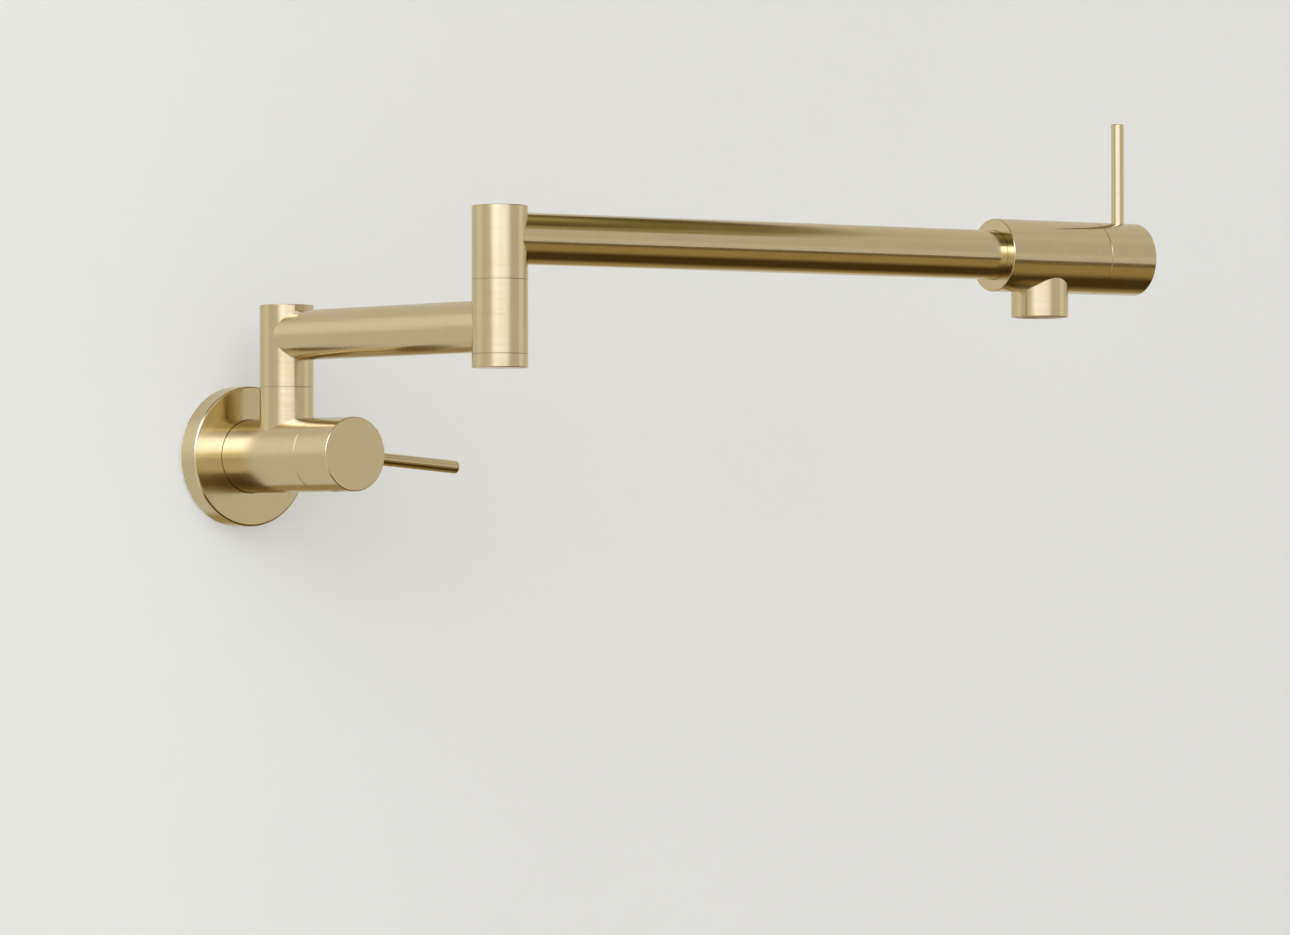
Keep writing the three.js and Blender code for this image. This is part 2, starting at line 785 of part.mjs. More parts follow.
// The elbow's lower half, on the first arm
const elbow = group(riser, 0, -ARM_1_REACH, 0);
add(elbow, "elbow_lower_barrel", elbowLowerBarrel(), "satinGold");
add(elbow, "elbow_bottom_cap", elbowBottomCap(), "satinGold");
add(elbow, "elbow_cap_o_ring", ring(8.9, 0.75, ELBOW_CAP_SEAM + 1.45), "rubber");
addSwivelCore(elbow, "elbow", {
  bottom: 69.6,
  grooves: [82.3, 86],
  arm: ARM_2_HEIGHT,
  seam: ELBOW_SEAM,
});

// The elbow's upper half, which carries the second arm and the head
const upperElbow = group(elbow, 0, 0, 0, ARM_2_SWING);
const upperBarrel = swivelSleeve({ seam: ELBOW_SEAM, arm: ARM_2_HEIGHT, top: ELBOW_TOP });
add(upperElbow, "elbow_upper_barrel", upperBarrel, "satinGold");
add(upperElbow, "elbow_top_cap", swivelCap(ELBOW_TOP), "satinGold");
const headAxis = outward(upperElbow, ARM_2_HEIGHT);
const tubeSocket = 8;
add(headAxis, "arm_2_tube", armTube(HEAD_REAR + tubeSocket - GAP, true), "satinGold");
const headBarrel = valveBarrel({
  rear: HEAD_REAR,
  socketRadius: ARM_RADIUS + GAP,
  socketEnd: HEAD_REAR + tubeSocket,
  port: ARM_2_REACH,
  seam: HEAD_SEAM,
  portSide: "front",
  groove: null,
});
add(headAxis, "head_body", headBarrel, "satinGold");
addValve(headAxis, "spout", {
  port: ARM_2_REACH,
  seam: HEAD_SEAM,
  hubEnd: HEAD_HUB_END,
  leverAt: SPOUT_LEVER_AT,
  leverReach: SPOUT_LEVER_REACH,
  leverTurn: 90,
});
const spout = group(upperElbow, 0, -ARM_2_REACH, 0);
add(spout, "spout_collar", spoutCollar(), "satinGold");
add(spout, "aerator_housing", aeratorHousing(), "satinGold");
add(spout, "aerator_insert", aeratorInsert(), "plastic");
const outletGasketBore = 8.6;
const outletGasketFoot = AERATOR_SEAT - 1.8;
const outletGasket = pipe(
  THREAD_BORE - SEAM,
  outletGasketBore,
  outletGasketFoot,
  AERATOR_SEAT - GAP,
  INNER_SIDES,
);
add(spout, "aerator_gasket", outletGasket, "rubber");

export default potFiller;
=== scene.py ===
import json
import math

import bmesh
import bpy
from mathutils import Matrix, Vector


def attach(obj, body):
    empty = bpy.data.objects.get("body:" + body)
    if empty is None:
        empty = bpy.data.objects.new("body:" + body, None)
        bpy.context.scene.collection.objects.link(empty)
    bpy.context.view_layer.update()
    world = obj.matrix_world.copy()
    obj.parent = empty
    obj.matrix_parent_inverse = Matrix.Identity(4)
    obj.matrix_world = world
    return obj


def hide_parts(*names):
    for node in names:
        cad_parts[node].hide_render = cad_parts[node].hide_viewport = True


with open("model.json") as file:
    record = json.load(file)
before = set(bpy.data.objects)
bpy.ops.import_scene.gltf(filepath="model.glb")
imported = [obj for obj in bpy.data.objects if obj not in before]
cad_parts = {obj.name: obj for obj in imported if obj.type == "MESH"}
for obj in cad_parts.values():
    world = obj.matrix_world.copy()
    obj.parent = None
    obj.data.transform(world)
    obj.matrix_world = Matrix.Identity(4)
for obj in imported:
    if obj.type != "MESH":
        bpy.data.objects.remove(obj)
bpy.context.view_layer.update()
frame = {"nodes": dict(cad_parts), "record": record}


# ---------------------------------------------------------------- mounting plate
# A round steel plate that is screwed flat to the wall behind the cover. It is blanked from 3 mm sheet
# with its bore and screw holes, and a turned collar on it holds the valve body's rear end.

MM = 0.001  # the tap's own sizes are in millimetres
SAME_PLACE = 1e-6  # metres: points nearer than this are one point
CREASE_ANGLE = math.radians(35)  # sharper edges than this show as edges
OUTWARD = Matrix.Rotation(math.radians(90), 4, "X")  # a piece drawn along +Z then points out of the wall


def turned(outline, steps=128):
    """A piece turned about +Z, from an outline of (radius, height) or (radius, height, edge rounding) in mm.
    The outline closes on itself, or on the axis where it starts and ends there."""
    bm = bmesh.new()
    corners = [bm.verts.new((corner[0] * MM, 0, corner[1] * MM)) for corner in outline]
    for start, end in zip(corners, corners[1:]):
        bm.edges.new((start, end))
    if outline[0][0] > 0:
        bm.edges.new((corners[-1], corners[0]))
    bmesh.ops.spin(
        bm, geom=bm.verts[:] + bm.edges[:], cent=(0, 0, 0), axis=(0, 0, 1),
        angle=math.tau, steps=steps, use_merge=True,
    )
    bmesh.ops.remove_doubles(bm, verts=bm.verts[:], dist=SAME_PLACE)
    bmesh.ops.recalc_face_normals(bm, faces=bm.faces[:])
    for corner in outline:
        if len(corner) == 3:
            rounded(bm, *corner)
    return bm


def rounded(bm, radius, height, rounding):
    """Rounds the circular edge at a radius and height."""
    def on_edge(vert):
        at_height = abs(vert.co.z - height * MM) < SAME_PLACE
        return at_height and abs(vert.co.xy.length - radius * MM) < SAME_PLACE

    ring = [edge for edge in bm.edges if all(on_edge(vert) for vert in edge.verts)]
    bmesh.ops.bevel(
        bm, geom=ring, offset=rounding * MM, offset_type="OFFSET", segments=4,
        profile=0.5, affect="EDGES", clamp_overlap=True, material=-1,
    )


def blanked(radius, holes, foot, top, steps=128):
    """A flat disc between two heights, with a round hole for each (x, y, radius)."""
    bm = bmesh.new()
    bmesh.ops.create_circle(bm, segments=steps, radius=radius * MM)
    for x, y, hole in holes:
        place = Matrix.Translation((x * MM, y * MM, 0))
        bmesh.ops.create_circle(bm, segments=32, radius=hole * MM, matrix=place)
    bmesh.ops.triangle_fill(bm, use_beauty=True, edges=bm.edges[:])
    bmesh.ops.translate(bm, verts=bm.verts[:], vec=(0, 0, foot * MM))
    made = bmesh.ops.extrude_face_region(bm, geom=bm.faces[:])["geom"]
    lifted = [item for item in made if isinstance(item, bmesh.types.BMVert)]
    bmesh.ops.translate(bm, verts=lifted, vec=(0, 0, (top - foot) * MM))
    bmesh.ops.recalc_face_normals(bm, faces=bm.faces[:])
    return bm


def joined(*shapes):
    """Several shapes that are one piece of metal, in one mesh."""
    whole = bmesh.new()
    for bm in shapes:
        mesh = bpy.data.meshes.new("part_of_piece")
        bm.to_mesh(mesh)
        bm.free()
        whole.from_mesh(mesh)
        bpy.data.meshes.remove(mesh)
    return whole


def fitted(bm, name, place, material, body, node):
    """Lays a shape into its place, shades it, and puts it in for its CAD node."""
    bm.transform(place)
    for face in bm.faces:
        face.smooth = True
    for edge in bm.edges:
        edge.smooth = edge.calc_face_angle(0) < CREASE_ANGLE
    mesh = bpy.data.meshes.new(name)
    bm.to_mesh(mesh)
    bm.free()
    mesh.materials.append(material)
    piece = bpy.data.objects.new(name, mesh)
    bpy.context.collection.objects.link(piece)
    piece.modifiers.new("even_shading", "WEIGHTED_NORMAL").keep_sharp = True
    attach(piece, body)
    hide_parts(node)


def add_node(material, kind, settings=None, **sockets):
    """A shader node with its settings, and with a value or another node's output in each socket.
    A socket is given by its name, or by its number as in _0."""
    tree = material.node_tree
    node = tree.nodes.new(kind)
    for key, value in (settings or {}).items():
        setattr(node, key, value)
    for key, value in sockets.items():
        socket = node.inputs[int(key[1:])] if key[0] == "_" else node.inputs[key]
        if isinstance(value, bpy.types.NodeSocket):
            tree.links.new(value, socket)
        else:
            socket.default_value = value
    return node


def calculated(material, operation, *values):
    """The output of a sum on one or two values."""
    sockets = {f"_{index}": value for index, value in enumerate(values)}
    return add_node(material, "ShaderNodeMath", {"operation": operation}, **sockets).outputs[0]


def rescaled(material, value, start, end, low=0.0, high=1.0, interpolation="LINEAR"):
    """The output that carries a value from one range, start to end, into another, low to high."""
    return add_node(
        material, "ShaderNodeMapRange", {"interpolation_type": interpolation},
        _0=value, _1=start, _2=end, _3=low, _4=high,
    ).outputs[0]


def graded(material, value, stops, interpolation="LINEAR"):
    """The output that carries a value through (position, colour) stops."""
    ramp = add_node(material, "ShaderNodeValToRGB", Fac=value)
    ramp.color_ramp.interpolation = interpolation
    elements = ramp.color_ramp.elements
    elements.remove(elements[1])
    elements[0].position = stops[0][0]
    elements[0].color = (*stops[0][1], 1)
    for position, colour in stops[1:]:
        elements.new(position).color = (*colour, 1)
    return ramp.outputs["Color"]


PATTERN_LOW = 0.3  # most of a noise pattern lies between these two values
PATTERN_HIGH = 0.7


def ranged(material, pattern, low, high):
    """The output that carries a noise pattern into a range."""
    return rescaled(material, pattern, PATTERN_LOW, PATTERN_HIGH, low, high)


def toned(material, pattern, dark, light):
    """The output that carries a noise pattern into a range of two colours."""
    return graded(material, pattern, [(PATTERN_LOW, dark), (PATTERN_HIGH, light)])


def object_coordinates(material):
    return add_node(material, "ShaderNodeTexCoord").outputs["Object"]


def separated(material, vector):
    return add_node(material, "ShaderNodeSeparateXYZ", Vector=vector).outputs


SLOW_CHANGE = 30  # waves to a metre, in which the lines vary across the axis


def lathe_lines(material, place, fineness):
    """A pattern of fine lines about a turned piece's own axis: rings round its side, circles on its ends."""
    own = place.inverted()
    centred = add_node(
        material, "ShaderNodeMapping", Vector=object_coordinates(material),
        Location=own.translation, Rotation=own.to_euler(),
    ).outputs[0]
    axes = separated(material, centred)
    across = add_node(material, "ShaderNodeCombineXYZ", X=axes["X"], Y=axes["Y"]).outputs[0]
    radius = add_node(
        material, "ShaderNodeVectorMath", {"operation": "LENGTH"}, _0=across,
    ).outputs["Value"]
    drawn = calculated(material, "MULTIPLY", calculated(material, "ADD", axes["Z"], radius), fineness)
    slow = add_node(
        material, "ShaderNodeVectorMath", {"operation": "SCALE"}, _0=across, Scale=SLOW_CHANGE,
    ).outputs[0]
    parts = separated(material, slow)
    lines = add_node(
        material, "ShaderNodeCombineXYZ", X=parts["X"], Y=parts["Y"], Z=drawn,
    ).outputs[0]
    return add_node(
        material, "ShaderNodeTexNoise", Vector=lines, Scale=1, Detail=5, Roughness=0.7,
    ).outputs["Fac"]


def blotches(material, scale):
    """A soft cloudy pattern, for handling marks and uneven finish."""
    return add_node(
        material, "ShaderNodeTexNoise", Vector=object_coordinates(material), Scale=scale, Detail=3,
    ).outputs["Fac"]


def new_material(name):
    material = bpy.data.materials.new(name)
    material.use_nodes = True
    return material


def surface(material, colour, roughness, height, depth, metallic):
    """Ends a material: its colour, roughness and bump go into the shader, which it gives back."""
    shader = material.node_tree.nodes["Principled BSDF"]
    links = material.node_tree.links
    links.new(colour, shader.inputs["Base Color"])
    links.new(roughness, shader.inputs["Roughness"])
    bump = add_node(material, "ShaderNodeBump", Height=height, Strength=1.0, Distance=depth)
    links.new(bump.outputs[0], shader.inputs["Normal"])
    shader.inputs["Metallic"].default_value = metallic
    return shader


LATHE_FINENESS = 1500  # lines to a metre, at their coarsest


def machined(name, place, dark, light, roughness, depth):
    """Bare metal as it leaves the lathe."""
    material = new_material(name)
    lines = lathe_lines(material, place, LATHE_FINENESS)
    gloss = ranged(material, lines, *roughness)
    surface(material, toned(material, lines, dark, light), gloss, lines, depth, metallic=1.0)
    return material


STEEL_DARK = (0.46, 0.46, 0.47)
STEEL_LIGHT = (0.60, 0.60, 0.61)


def plain_steel(name, place):
    return machined(name, place, STEEL_DARK, STEEL_LIGHT, roughness=(0.26, 0.40), depth=6e-6)


PLATE_THICKNESS = 3
PLATE_RADIUS = 30.8
PLATE_BORE = 10.9
SCREW_HOLE = 2.4
SCREW_CIRCLE = 25.3
SCREW_ANGLES = (90, 210, 330)
PLATE_COLLAR_BORE = 18.05
PLATE_COLLAR_RADIUS = 20.6
PLATE_COLLAR_TOP = 9.5
SCREW_PLACES = [
    (SCREW_CIRCLE * math.cos(math.radians(angle)), SCREW_CIRCLE * math.sin(math.radians(angle)))
    for angle in SCREW_ANGLES
]

steel_at_wall = plain_steel("steel_at_wall", OUTWARD)
plate_holes = [(0, 0, PLATE_BORE)] + [(x, y, SCREW_HOLE) for x, y in SCREW_PLACES]
plate = blanked(PLATE_RADIUS, plate_holes, 0, PLATE_THICKNESS)
collar_foot = PLATE_THICKNESS - 0.2
plate_collar = turned([
    (PLATE_COLLAR_BORE, collar_foot), (PLATE_COLLAR_RADIUS, collar_foot),
    (PLATE_COLLAR_RADIUS, PLATE_COLLAR_TOP, 0.3), (PLATE_COLLAR_BORE, PLATE_COLLAR_TOP, 0.3),
])
fitted(joined(plate, plate_collar), "mounting_plate_blanked", OUTWARD, steel_at_wall,
       "wall_body", "mounting_plate")


# ---------------------------------------------------------------- wall screws
# Three stainless countersunk wood screws, 30 mm long, through the plate into the wall.
# Their threads are rolled: a ridge that winds round a thinner core.

SCREW_LENGTH = 30
SCREW_POINT = 4
SCREW_CORE = 1.4
SCREW_CREST = 2
SCREW_PITCH = 1.6
SCREW_HEAD = 3.6
CONE_FOOT = 1.2  # the countersunk head widens from here
CONE_TOP = 2.7
THREAD_FROM_TIP = 2.5
THREAD_END = -1.5
SLOT_LENGTH = 4
SLOT_WIDTH = 0.9
SLOT_FLOOR = 1.8


def thread(crest, root, pitch, foot, top, steps=24):
    """A threaded length: a ridge wound round the axis, to lie on a core of the root's radius."""
    bm = bmesh.new()
    turns = (top - foot) / pitch - 1
    sunk = root - 0.1
    ridge = [(sunk, foot), (crest, foot + 0.45 * pitch), (crest, foot + 0.55 * pitch), (sunk, foot + pitch)]
    verts = [bm.verts.new((radius * MM, 0, height * MM)) for radius, height in ridge]
    for index, vert in enumerate(verts):
        bm.edges.new((vert, verts[index - 1]))
    count = round(turns * steps)
    bmesh.ops.spin(
        bm, geom=bm.verts[:] + bm.edges[:], cent=(0, 0, 0), axis=(0, 0, 1),
        dvec=(0, 0, pitch * MM / steps), angle=math.tau * count / steps, steps=count,
    )
    bmesh.ops.holes_fill(bm, edges=[edge for edge in bm.edges if edge.is_boundary], sides=4)
    bmesh.ops.recalc_face_normals(bm, faces=bm.faces[:])
    return bm


def block(width, depth, foot, top):
    """A plain bar of rectangular section between two heights, to cut with."""
    bm = bmesh.new()
    size = Matrix.Diagonal((width * MM, depth * MM, (top - foot) * MM, 1))
    middle = Matrix.Translation((0, 0, (foot + top) / 2 * MM))
    bmesh.ops.create_cube(bm, size=1, matrix=middle @ size)
    return bm


def cut(bm, *tools):
    """The shape without the tools' shapes."""
    pieces = []
    for shape in (bm, *tools):
        mesh = bpy.data.meshes.new("cutting")
        shape.to_mesh(mesh)
        shape.free()
        pieces.append(bpy.data.objects.new("cutting", mesh))
        bpy.context.collection.objects.link(pieces[-1])
    for tool in pieces[1:]:
        modifier = pieces[0].modifiers.new("cut", "BOOLEAN")
        modifier.operation = "DIFFERENCE"
        modifier.solver = "EXACT"
        modifier.object = tool
    evaluated = pieces[0].evaluated_get(bpy.context.evaluated_depsgraph_get())
    left = bmesh.new()
    left.from_mesh(evaluated.to_mesh())
    evaluated.to_mesh_clear()
    for piece in pieces:
        bpy.data.meshes.remove(piece.data)
    return left


screw_tip = PLATE_THICKNESS - SCREW_LENGTH
thread_start = screw_tip + THREAD_FROM_TIP
screw_outline = [
    (0, screw_tip), (SCREW_CORE, screw_tip + SCREW_POINT), (SCREW_CORE, CONE_FOOT),
    (SCREW_HEAD, CONE_TOP), (SCREW_HEAD, PLATE_THICKNESS, 0.1), (0, PLATE_THICKNESS),
]
for number, (x, y) in enumerate(SCREW_PLACES, 1):
    slot_across = block(SLOT_LENGTH, SLOT_WIDTH, SLOT_FLOOR, PLATE_THICKNESS + 1)
    slot_along = block(SLOT_WIDTH, SLOT_LENGTH, SLOT_FLOOR, PLATE_THICKNESS + 1)
    screw = cut(turned(screw_outline, steps=48), slot_across, slot_along)
    screw_thread = thread(SCREW_CREST, SCREW_CORE, SCREW_PITCH, thread_start, THREAD_END)
    place = OUTWARD @ Matrix.Translation((x * MM, y * MM, 0))
    fitted(
        joined(screw, screw_thread), f"wall_screw_{number}_threaded", place,
        plain_steel(f"steel_screw_{number}", place), "wall_body", f"wall_screw_{number}",
    )


# ---------------------------------------------------------------- inlet nipple
# A half inch threaded brass nipple that screws into the fitting in the wall and carries the water in.
# It is turned and threaded from bar and left uncoated.

NIPPLE_END = -20
NIPPLE_TOP = 17
NIPPLE_BORE = 6.5
NIPPLE_NECK = 10.4
NIPPLE_CREST = 10.45
NIPPLE_ROOT = 9.3
NIPPLE_PITCH = 1.814

BRASS_DARK = (0.56, 0.40, 0.15)
BRASS_LIGHT = (0.66, 0.49, 0.22)


def raw_brass(name, place):
    return machined(name, place, BRASS_DARK, BRASS_LIGHT, roughness=(0.22, 0.34), depth=5e-6)


brass_at_wall = raw_brass("raw_brass_at_wall", OUTWARD)
nipple = turned([
    (NIPPLE_BORE, NIPPLE_END, 0.4), (NIPPLE_ROOT, NIPPLE_END, 0.5), (NIPPLE_ROOT, -1),
    (NIPPLE_NECK, -1, 0.2), (NIPPLE_NECK, NIPPLE_TOP, 0.3), (NIPPLE_BORE, NIPPLE_TOP),
])
nipple_thread = thread(NIPPLE_CREST, NIPPLE_ROOT, NIPPLE_PITCH, NIPPLE_END + 0.3, -0.6, steps=64)
fitted(joined(nipple, nipple_thread), "inlet_nipple_threaded", OUTWARD, brass_at_wall,
       "wall_body", "inlet_nipple")


# ---------------------------------------------------------------- wall gasket
# A flat ring, moulded in pale silicone rubber. It is held between the wall and the cover's rim and
# keeps splashes out.

GASKET_INNER = 31.2
GASKET_OUTER = 33.6
GASKET_THICKNESS = 1.5


def soft_rubber(name, dark, light):
    material = new_material(name)
    cloud = blotches(material, 400)
    roughness = ranged(material, cloud, 0.62, 0.78)
    surface(material, toned(material, cloud, dark, light), roughness, cloud, depth=1e-5, metallic=0.0)
    return material


pale_silicone = soft_rubber("pale_silicone", (0.66, 0.65, 0.62), (0.74, 0.73, 0.70))
gasket = turned([
    (GASKET_INNER, 0), (GASKET_OUTER, 0),
    (GASKET_OUTER, GASKET_THICKNESS, 0.3), (GASKET_INNER, GASKET_THICKNESS, 0.3),
])
fitted(gasket, "wall_gasket_moulded", OUTWARD, pale_silicone, "wall_body", "wall_gasket")


# ---------------------------------------------------------------- escutcheon
# The round cover that hides the plate. It is spun from brass, with a flat face, an upright rim and
# a softly rounded edge, then brushed round its centre and given the satin gold coating of the whole tap.

COVER_RADIUS = 34
COVER_SHEET = 2
COVER_FOOT = 1.8
COVER_FACE = 12.7
BARREL_RADIUS = 17.75  # both valve bodies and both hubs

GOLD_DARK = (0.685, 0.585, 0.358)
GOLD_LIGHT = (0.71, 0.61, 0.38)
BRUSHING_FINENESS = 900  # lines to a metre, at their coarsest
BRUSHED_ROUGHNESS = (0.15, 0.19)
HANDLING_MARKS = (-0.02, 0.02)  # what they take from the roughness and add to it
BRUSHED_SPREAD = 0.75  # how far the lines draw a reflection out, from 0 to 1


def vector_of(material, operation, *values):
    """The output of a vector sum whose result is a vector."""
    sockets = {f"_{index}": value for index, value in enumerate(values)}
    return add_node(material, "ShaderNodeVectorMath", {"operation": operation}, **sockets).outputs["Vector"]


def dot_product(material, first, second):
    return add_node(
        material, "ShaderNodeVectorMath", {"operation": "DOT_PRODUCT"}, _0=first, _1=second,
    ).outputs["Value"]


def round_the_axis(material, place):
    """The direction in which a piece was brushed: round its own axis, at every point of it."""
    axis = place.to_3x3() @ Vector((0, 0, 1))
    from_axis = vector_of(material, "SUBTRACT", object_coordinates(material), place.translation)
    way_round = vector_of(material, "CROSS_PRODUCT", axis, from_axis)
    settings = {"vector_type": "VECTOR", "convert_from": "OBJECT", "convert_to": "WORLD"}
    return add_node(material, "ShaderNodeVectorTransform", settings, _0=way_round).outputs[0]


def end_facing(material, place):
    """The output that is 0 on the side of a turned piece and 1 on its flat ends."""
    axis = place.to_3x3() @ Vector((0, 0, 1))
    facing = add_node(material, "ShaderNodeTexCoord").outputs["Normal"]
    return calculated(material, "ABSOLUTE", dot_product(material, axis, facing))


def satin_gold(name, place):
    """Brass brushed in fine lines round its axis, with a clear gold coating and faint handling marks.
    The lines spread a reflection along the piece's side and leave it sharp across."""
    material = new_material(name)
    lines = lathe_lines(material, place, BRUSHING_FINENESS)
    cloud = blotches(material, 45)
    fine = ranged(material, lines, *BRUSHED_ROUGHNESS)
    broad = ranged(material, cloud, *HANDLING_MARKS)
    roughness = calculated(material, "ADD", fine, broad)
    colour = toned(material, lines, GOLD_DARK, GOLD_LIGHT)
    shader = surface(material, colour, roughness, lines, depth=1e-6, metallic=1.0)
    spread = ranged(material, end_facing(material, place), BRUSHED_SPREAD, 0.0)
    material.node_tree.links.new(spread, shader.inputs["Anisotropic"])
    shader.inputs["Anisotropic Rotation"].default_value = 0.25
    material.node_tree.links.new(round_the_axis(material, place), shader.inputs["Tangent"])
    return material


gold_at_wall = satin_gold("satin_gold_at_wall", OUTWARD)
cover_inside = COVER_RADIUS - COVER_SHEET
cover_under = COVER_FACE - COVER_SHEET
cover_bore = BARREL_RADIUS + 0.15
cover = turned([
    (cover_inside, COVER_FOOT), (COVER_RADIUS, COVER_FOOT, 0.3), (COVER_RADIUS, COVER_FACE, 1.1),
    (cover_bore, COVER_FACE, 0.15), (cover_bore, cover_under), (cover_inside, cover_under),
], steps=192)
fitted(cover, "escutcheon_spun", OUTWARD, gold_at_wall, "wall_body", "escutcheon")


# ---------------------------------------------------------------- valve body
# A brass barrel that stands out of the wall. It is bored in steps from both ends: behind for the nipple,
# in front for the cartridge and its nut. A groove under the cover holds the ring that grips the cover.

WALL_VALVE_REAR = 3.3
WALL_SEAM = 70
WALL_NUT_FLOOR = 61.2
WALL_CARTRIDGE_FLOOR = 30.2
NIPPLE_SOCKET = 10.9
NIPPLE_SOCKET_FLOOR = 19.3
GROOVE_RADIUS = 16.05
GROOVE_FRONT = 12.6
NUT_BORE = 14.5
CARTRIDGE_BORE = 12
WATER_BORE = 8
HUB_SEAM_HALF = 0.06  # half the hairline between a valve body and its hub
HUB_SEAM_EDGE = 0.25

wall_barrel_end = WALL_SEAM - HUB_SEAM_HALF
wall_barrel = turned([
    (NIPPLE_SOCKET, WALL_VALVE_REAR), (BARREL_RADIUS, WALL_VALVE_REAR, 0.5), (BARREL_RADIUS, cover_under),
    (GROOVE_RADIUS, cover_under), (GROOVE_RADIUS, GROOVE_FRONT), (BARREL_RADIUS, GROOVE_FRONT),
    (BARREL_RADIUS, wall_barrel_end, HUB_SEAM_EDGE), (NUT_BORE, wall_barrel_end),
    (NUT_BORE, WALL_NUT_FLOOR), (CARTRIDGE_BORE, WALL_NUT_FLOOR),
    (CARTRIDGE_BORE, WALL_CARTRIDGE_FLOOR), (WATER_BORE, WALL_CARTRIDGE_FLOOR),
    (WATER_BORE, NIPPLE_SOCKET_FLOOR), (NIPPLE_SOCKET, NIPPLE_SOCKET_FLOOR),
], steps=160)
fitted(wall_barrel, "valve_body_turned", OUTWARD, gold_at_wall, "wall_body", "valve_body")


# ---------------------------------------------------------------- riser stub
# The fixed foot of the riser: a short upright brass tube, fish-mouthed to sit on the valve body
# and silver soldered to it, then polished so that no fillet shows.

RISER_REACH = 41.2
RISER_SEAM = 32.8
RISER_SEAM_HALF = 0.025  # half the hairline between the riser's two halves
POST_RADIUS = 13
POST_BORE = 10
POST_SEAM_EDGE = 0.12
STUB_FLOOR = 22
STUB_FOOT = 5  # any height inside the barrel: the fish-mouth sets the true one
SUNK_BARREL = BARREL_RADIUS - 0.15  # a soldered end goes a hair into the barrel it sits on
AT_RISER = Matrix.Translation((0, -RISER_REACH * MM, 0))


def fish_mouthed(bm, height, barrel, level, side):
    """Shapes the end at a height to fit a barrel that lies along Y at a level.
    The side is 1 for the barrel's upper side and -1 for its lower one."""
    for vert in bm.verts:
        if abs(vert.co.z - height * MM) < SAME_PLACE:
            vert.co.z = level * MM + side * math.sqrt((barrel * MM) ** 2 - vert.co.x ** 2)


gold_at_riser = satin_gold("satin_gold_at_riser", AT_RISER)
stub_top = RISER_SEAM - RISER_SEAM_HALF
stub = turned([
    (WATER_BORE, STUB_FOOT), (POST_RADIUS, STUB_FOOT), (POST_RADIUS, stub_top, POST_SEAM_EDGE),
    (POST_BORE, stub_top), (POST_BORE, STUB_FLOOR), (WATER_BORE, STUB_FLOOR),
])
fish_mouthed(stub, STUB_FOOT, SUNK_BARREL, 0, 1)
fitted(stub, "riser_stub_soldered", AT_RISER, gold_at_riser, "wall_body", "riser_stub")


# ---------------------------------------------------------------- wall handle
# A hub turned from the same bar as the valve body, with a flat end, and a thin rod pushed into its side.
# A small socket screw in the hub's lower side locks both to the cartridge's stem.

HUB_WALL = 4.5  # the closed end's thickness
STEM_BORE = 4.5
LEVER_FOOT = 6.2
LEVER_RADIUS = 3.1
GRUB_HOLE = 2.2
DRILLED_FROM = 3
DRILLED_TO = 20  # past the hub's side
GRUB_RADIUS = 1.9
GRUB_FOOT = 4
GRUB_TOP = 12
SOCKET_RADIUS = 1.05
SOCKET_FLOOR = 10.5
LEVER_TURN = math.radians(-4.4)  # the wall lever stands a little off the level
WALL_HANDLE = OUTWARD @ Matrix.Rotation(LEVER_TURN, 4, "Z")
TO_RIGHT = Matrix.Rotation(math.radians(90), 4, "Y")
TO_FRONT = Matrix.Rotation(math.radians(90), 4, "X")


def hub(seam, end, lever_at):
    """The hub's barrel, drilled for the locking screw."""
    rear = seam + HUB_SEAM_HALF
    whole = turned([
        (0, end - HUB_WALL), (STEM_BORE, end - HUB_WALL), (STEM_BORE, rear),
        (BARREL_RADIUS, rear, HUB_SEAM_EDGE), (BARREL_RADIUS, end, 0.5), (0, end),
    ], steps=160)
    drill = turned([
        (0, DRILLED_FROM), (GRUB_HOLE, DRILLED_FROM), (GRUB_HOLE, DRILLED_TO), (0, DRILLED_TO),
    ], steps=32)
    drill.transform(Matrix.Translation((0, 0, lever_at * MM)) @ TO_FRONT)
    return cut(whole, drill)


def rod(reach):
    """The rod, from its seat in the hub to its tip."""
    return turned([
        (0, LEVER_FOOT), (LEVER_RADIUS, LEVER_FOOT), (LEVER_RADIUS, reach, 0.4), (0, reach),
    ], steps=64)


def grub_screw():
    """A headless screw with a hexagon socket."""
    whole = turned([
        (0, GRUB_FOOT), (GRUB_RADIUS, GRUB_FOOT), (GRUB_RADIUS, GRUB_TOP, 0.25), (0, GRUB_TOP),
    ], steps=48)
    above = GRUB_TOP + 1
    socket = turned([
        (0, SOCKET_FLOOR), (SOCKET_RADIUS, SOCKET_FLOOR), (SOCKET_RADIUS, above), (0, above),
    ], steps=6)
    return cut(whole, socket)


def fit_handle(side, place, seam, end, lever_at, reach):
    """One handle: hub, rod and screw."""
    body = side + "_handle"
    gold = satin_gold("satin_gold_" + body, place)
    fitted(hub(seam, end, lever_at), side + "_hub_turned", place, gold, body, side + "_hub")
    at_lever = place @ Matrix.Translation((0, 0, lever_at * MM))
    rod_place = at_lever @ TO_RIGHT
    rod_gold = satin_gold(f"satin_gold_{side}_rod", rod_place)
    fitted(rod(reach), side + "_lever_drawn", rod_place, rod_gold, body, side + "_lever")
    screw_place = at_lever @ TO_FRONT
    screw_steel = plain_steel(f"steel_{side}_grub_screw", screw_place)
    fitted(grub_screw(), side + "_grub_screw_cut", screw_place, screw_steel,
           body, side + "_grub_screw")


fit_handle("wall", WALL_HANDLE, WALL_SEAM, end=95.3, lever_at=82.7, reach=71)


# ---------------------------------------------------------------- riser sleeve and cap
# The upper half of the riser, a thick brass tube that turns on a hidden spindle. A flat disc pressed
# into its top covers the screw that holds it down.

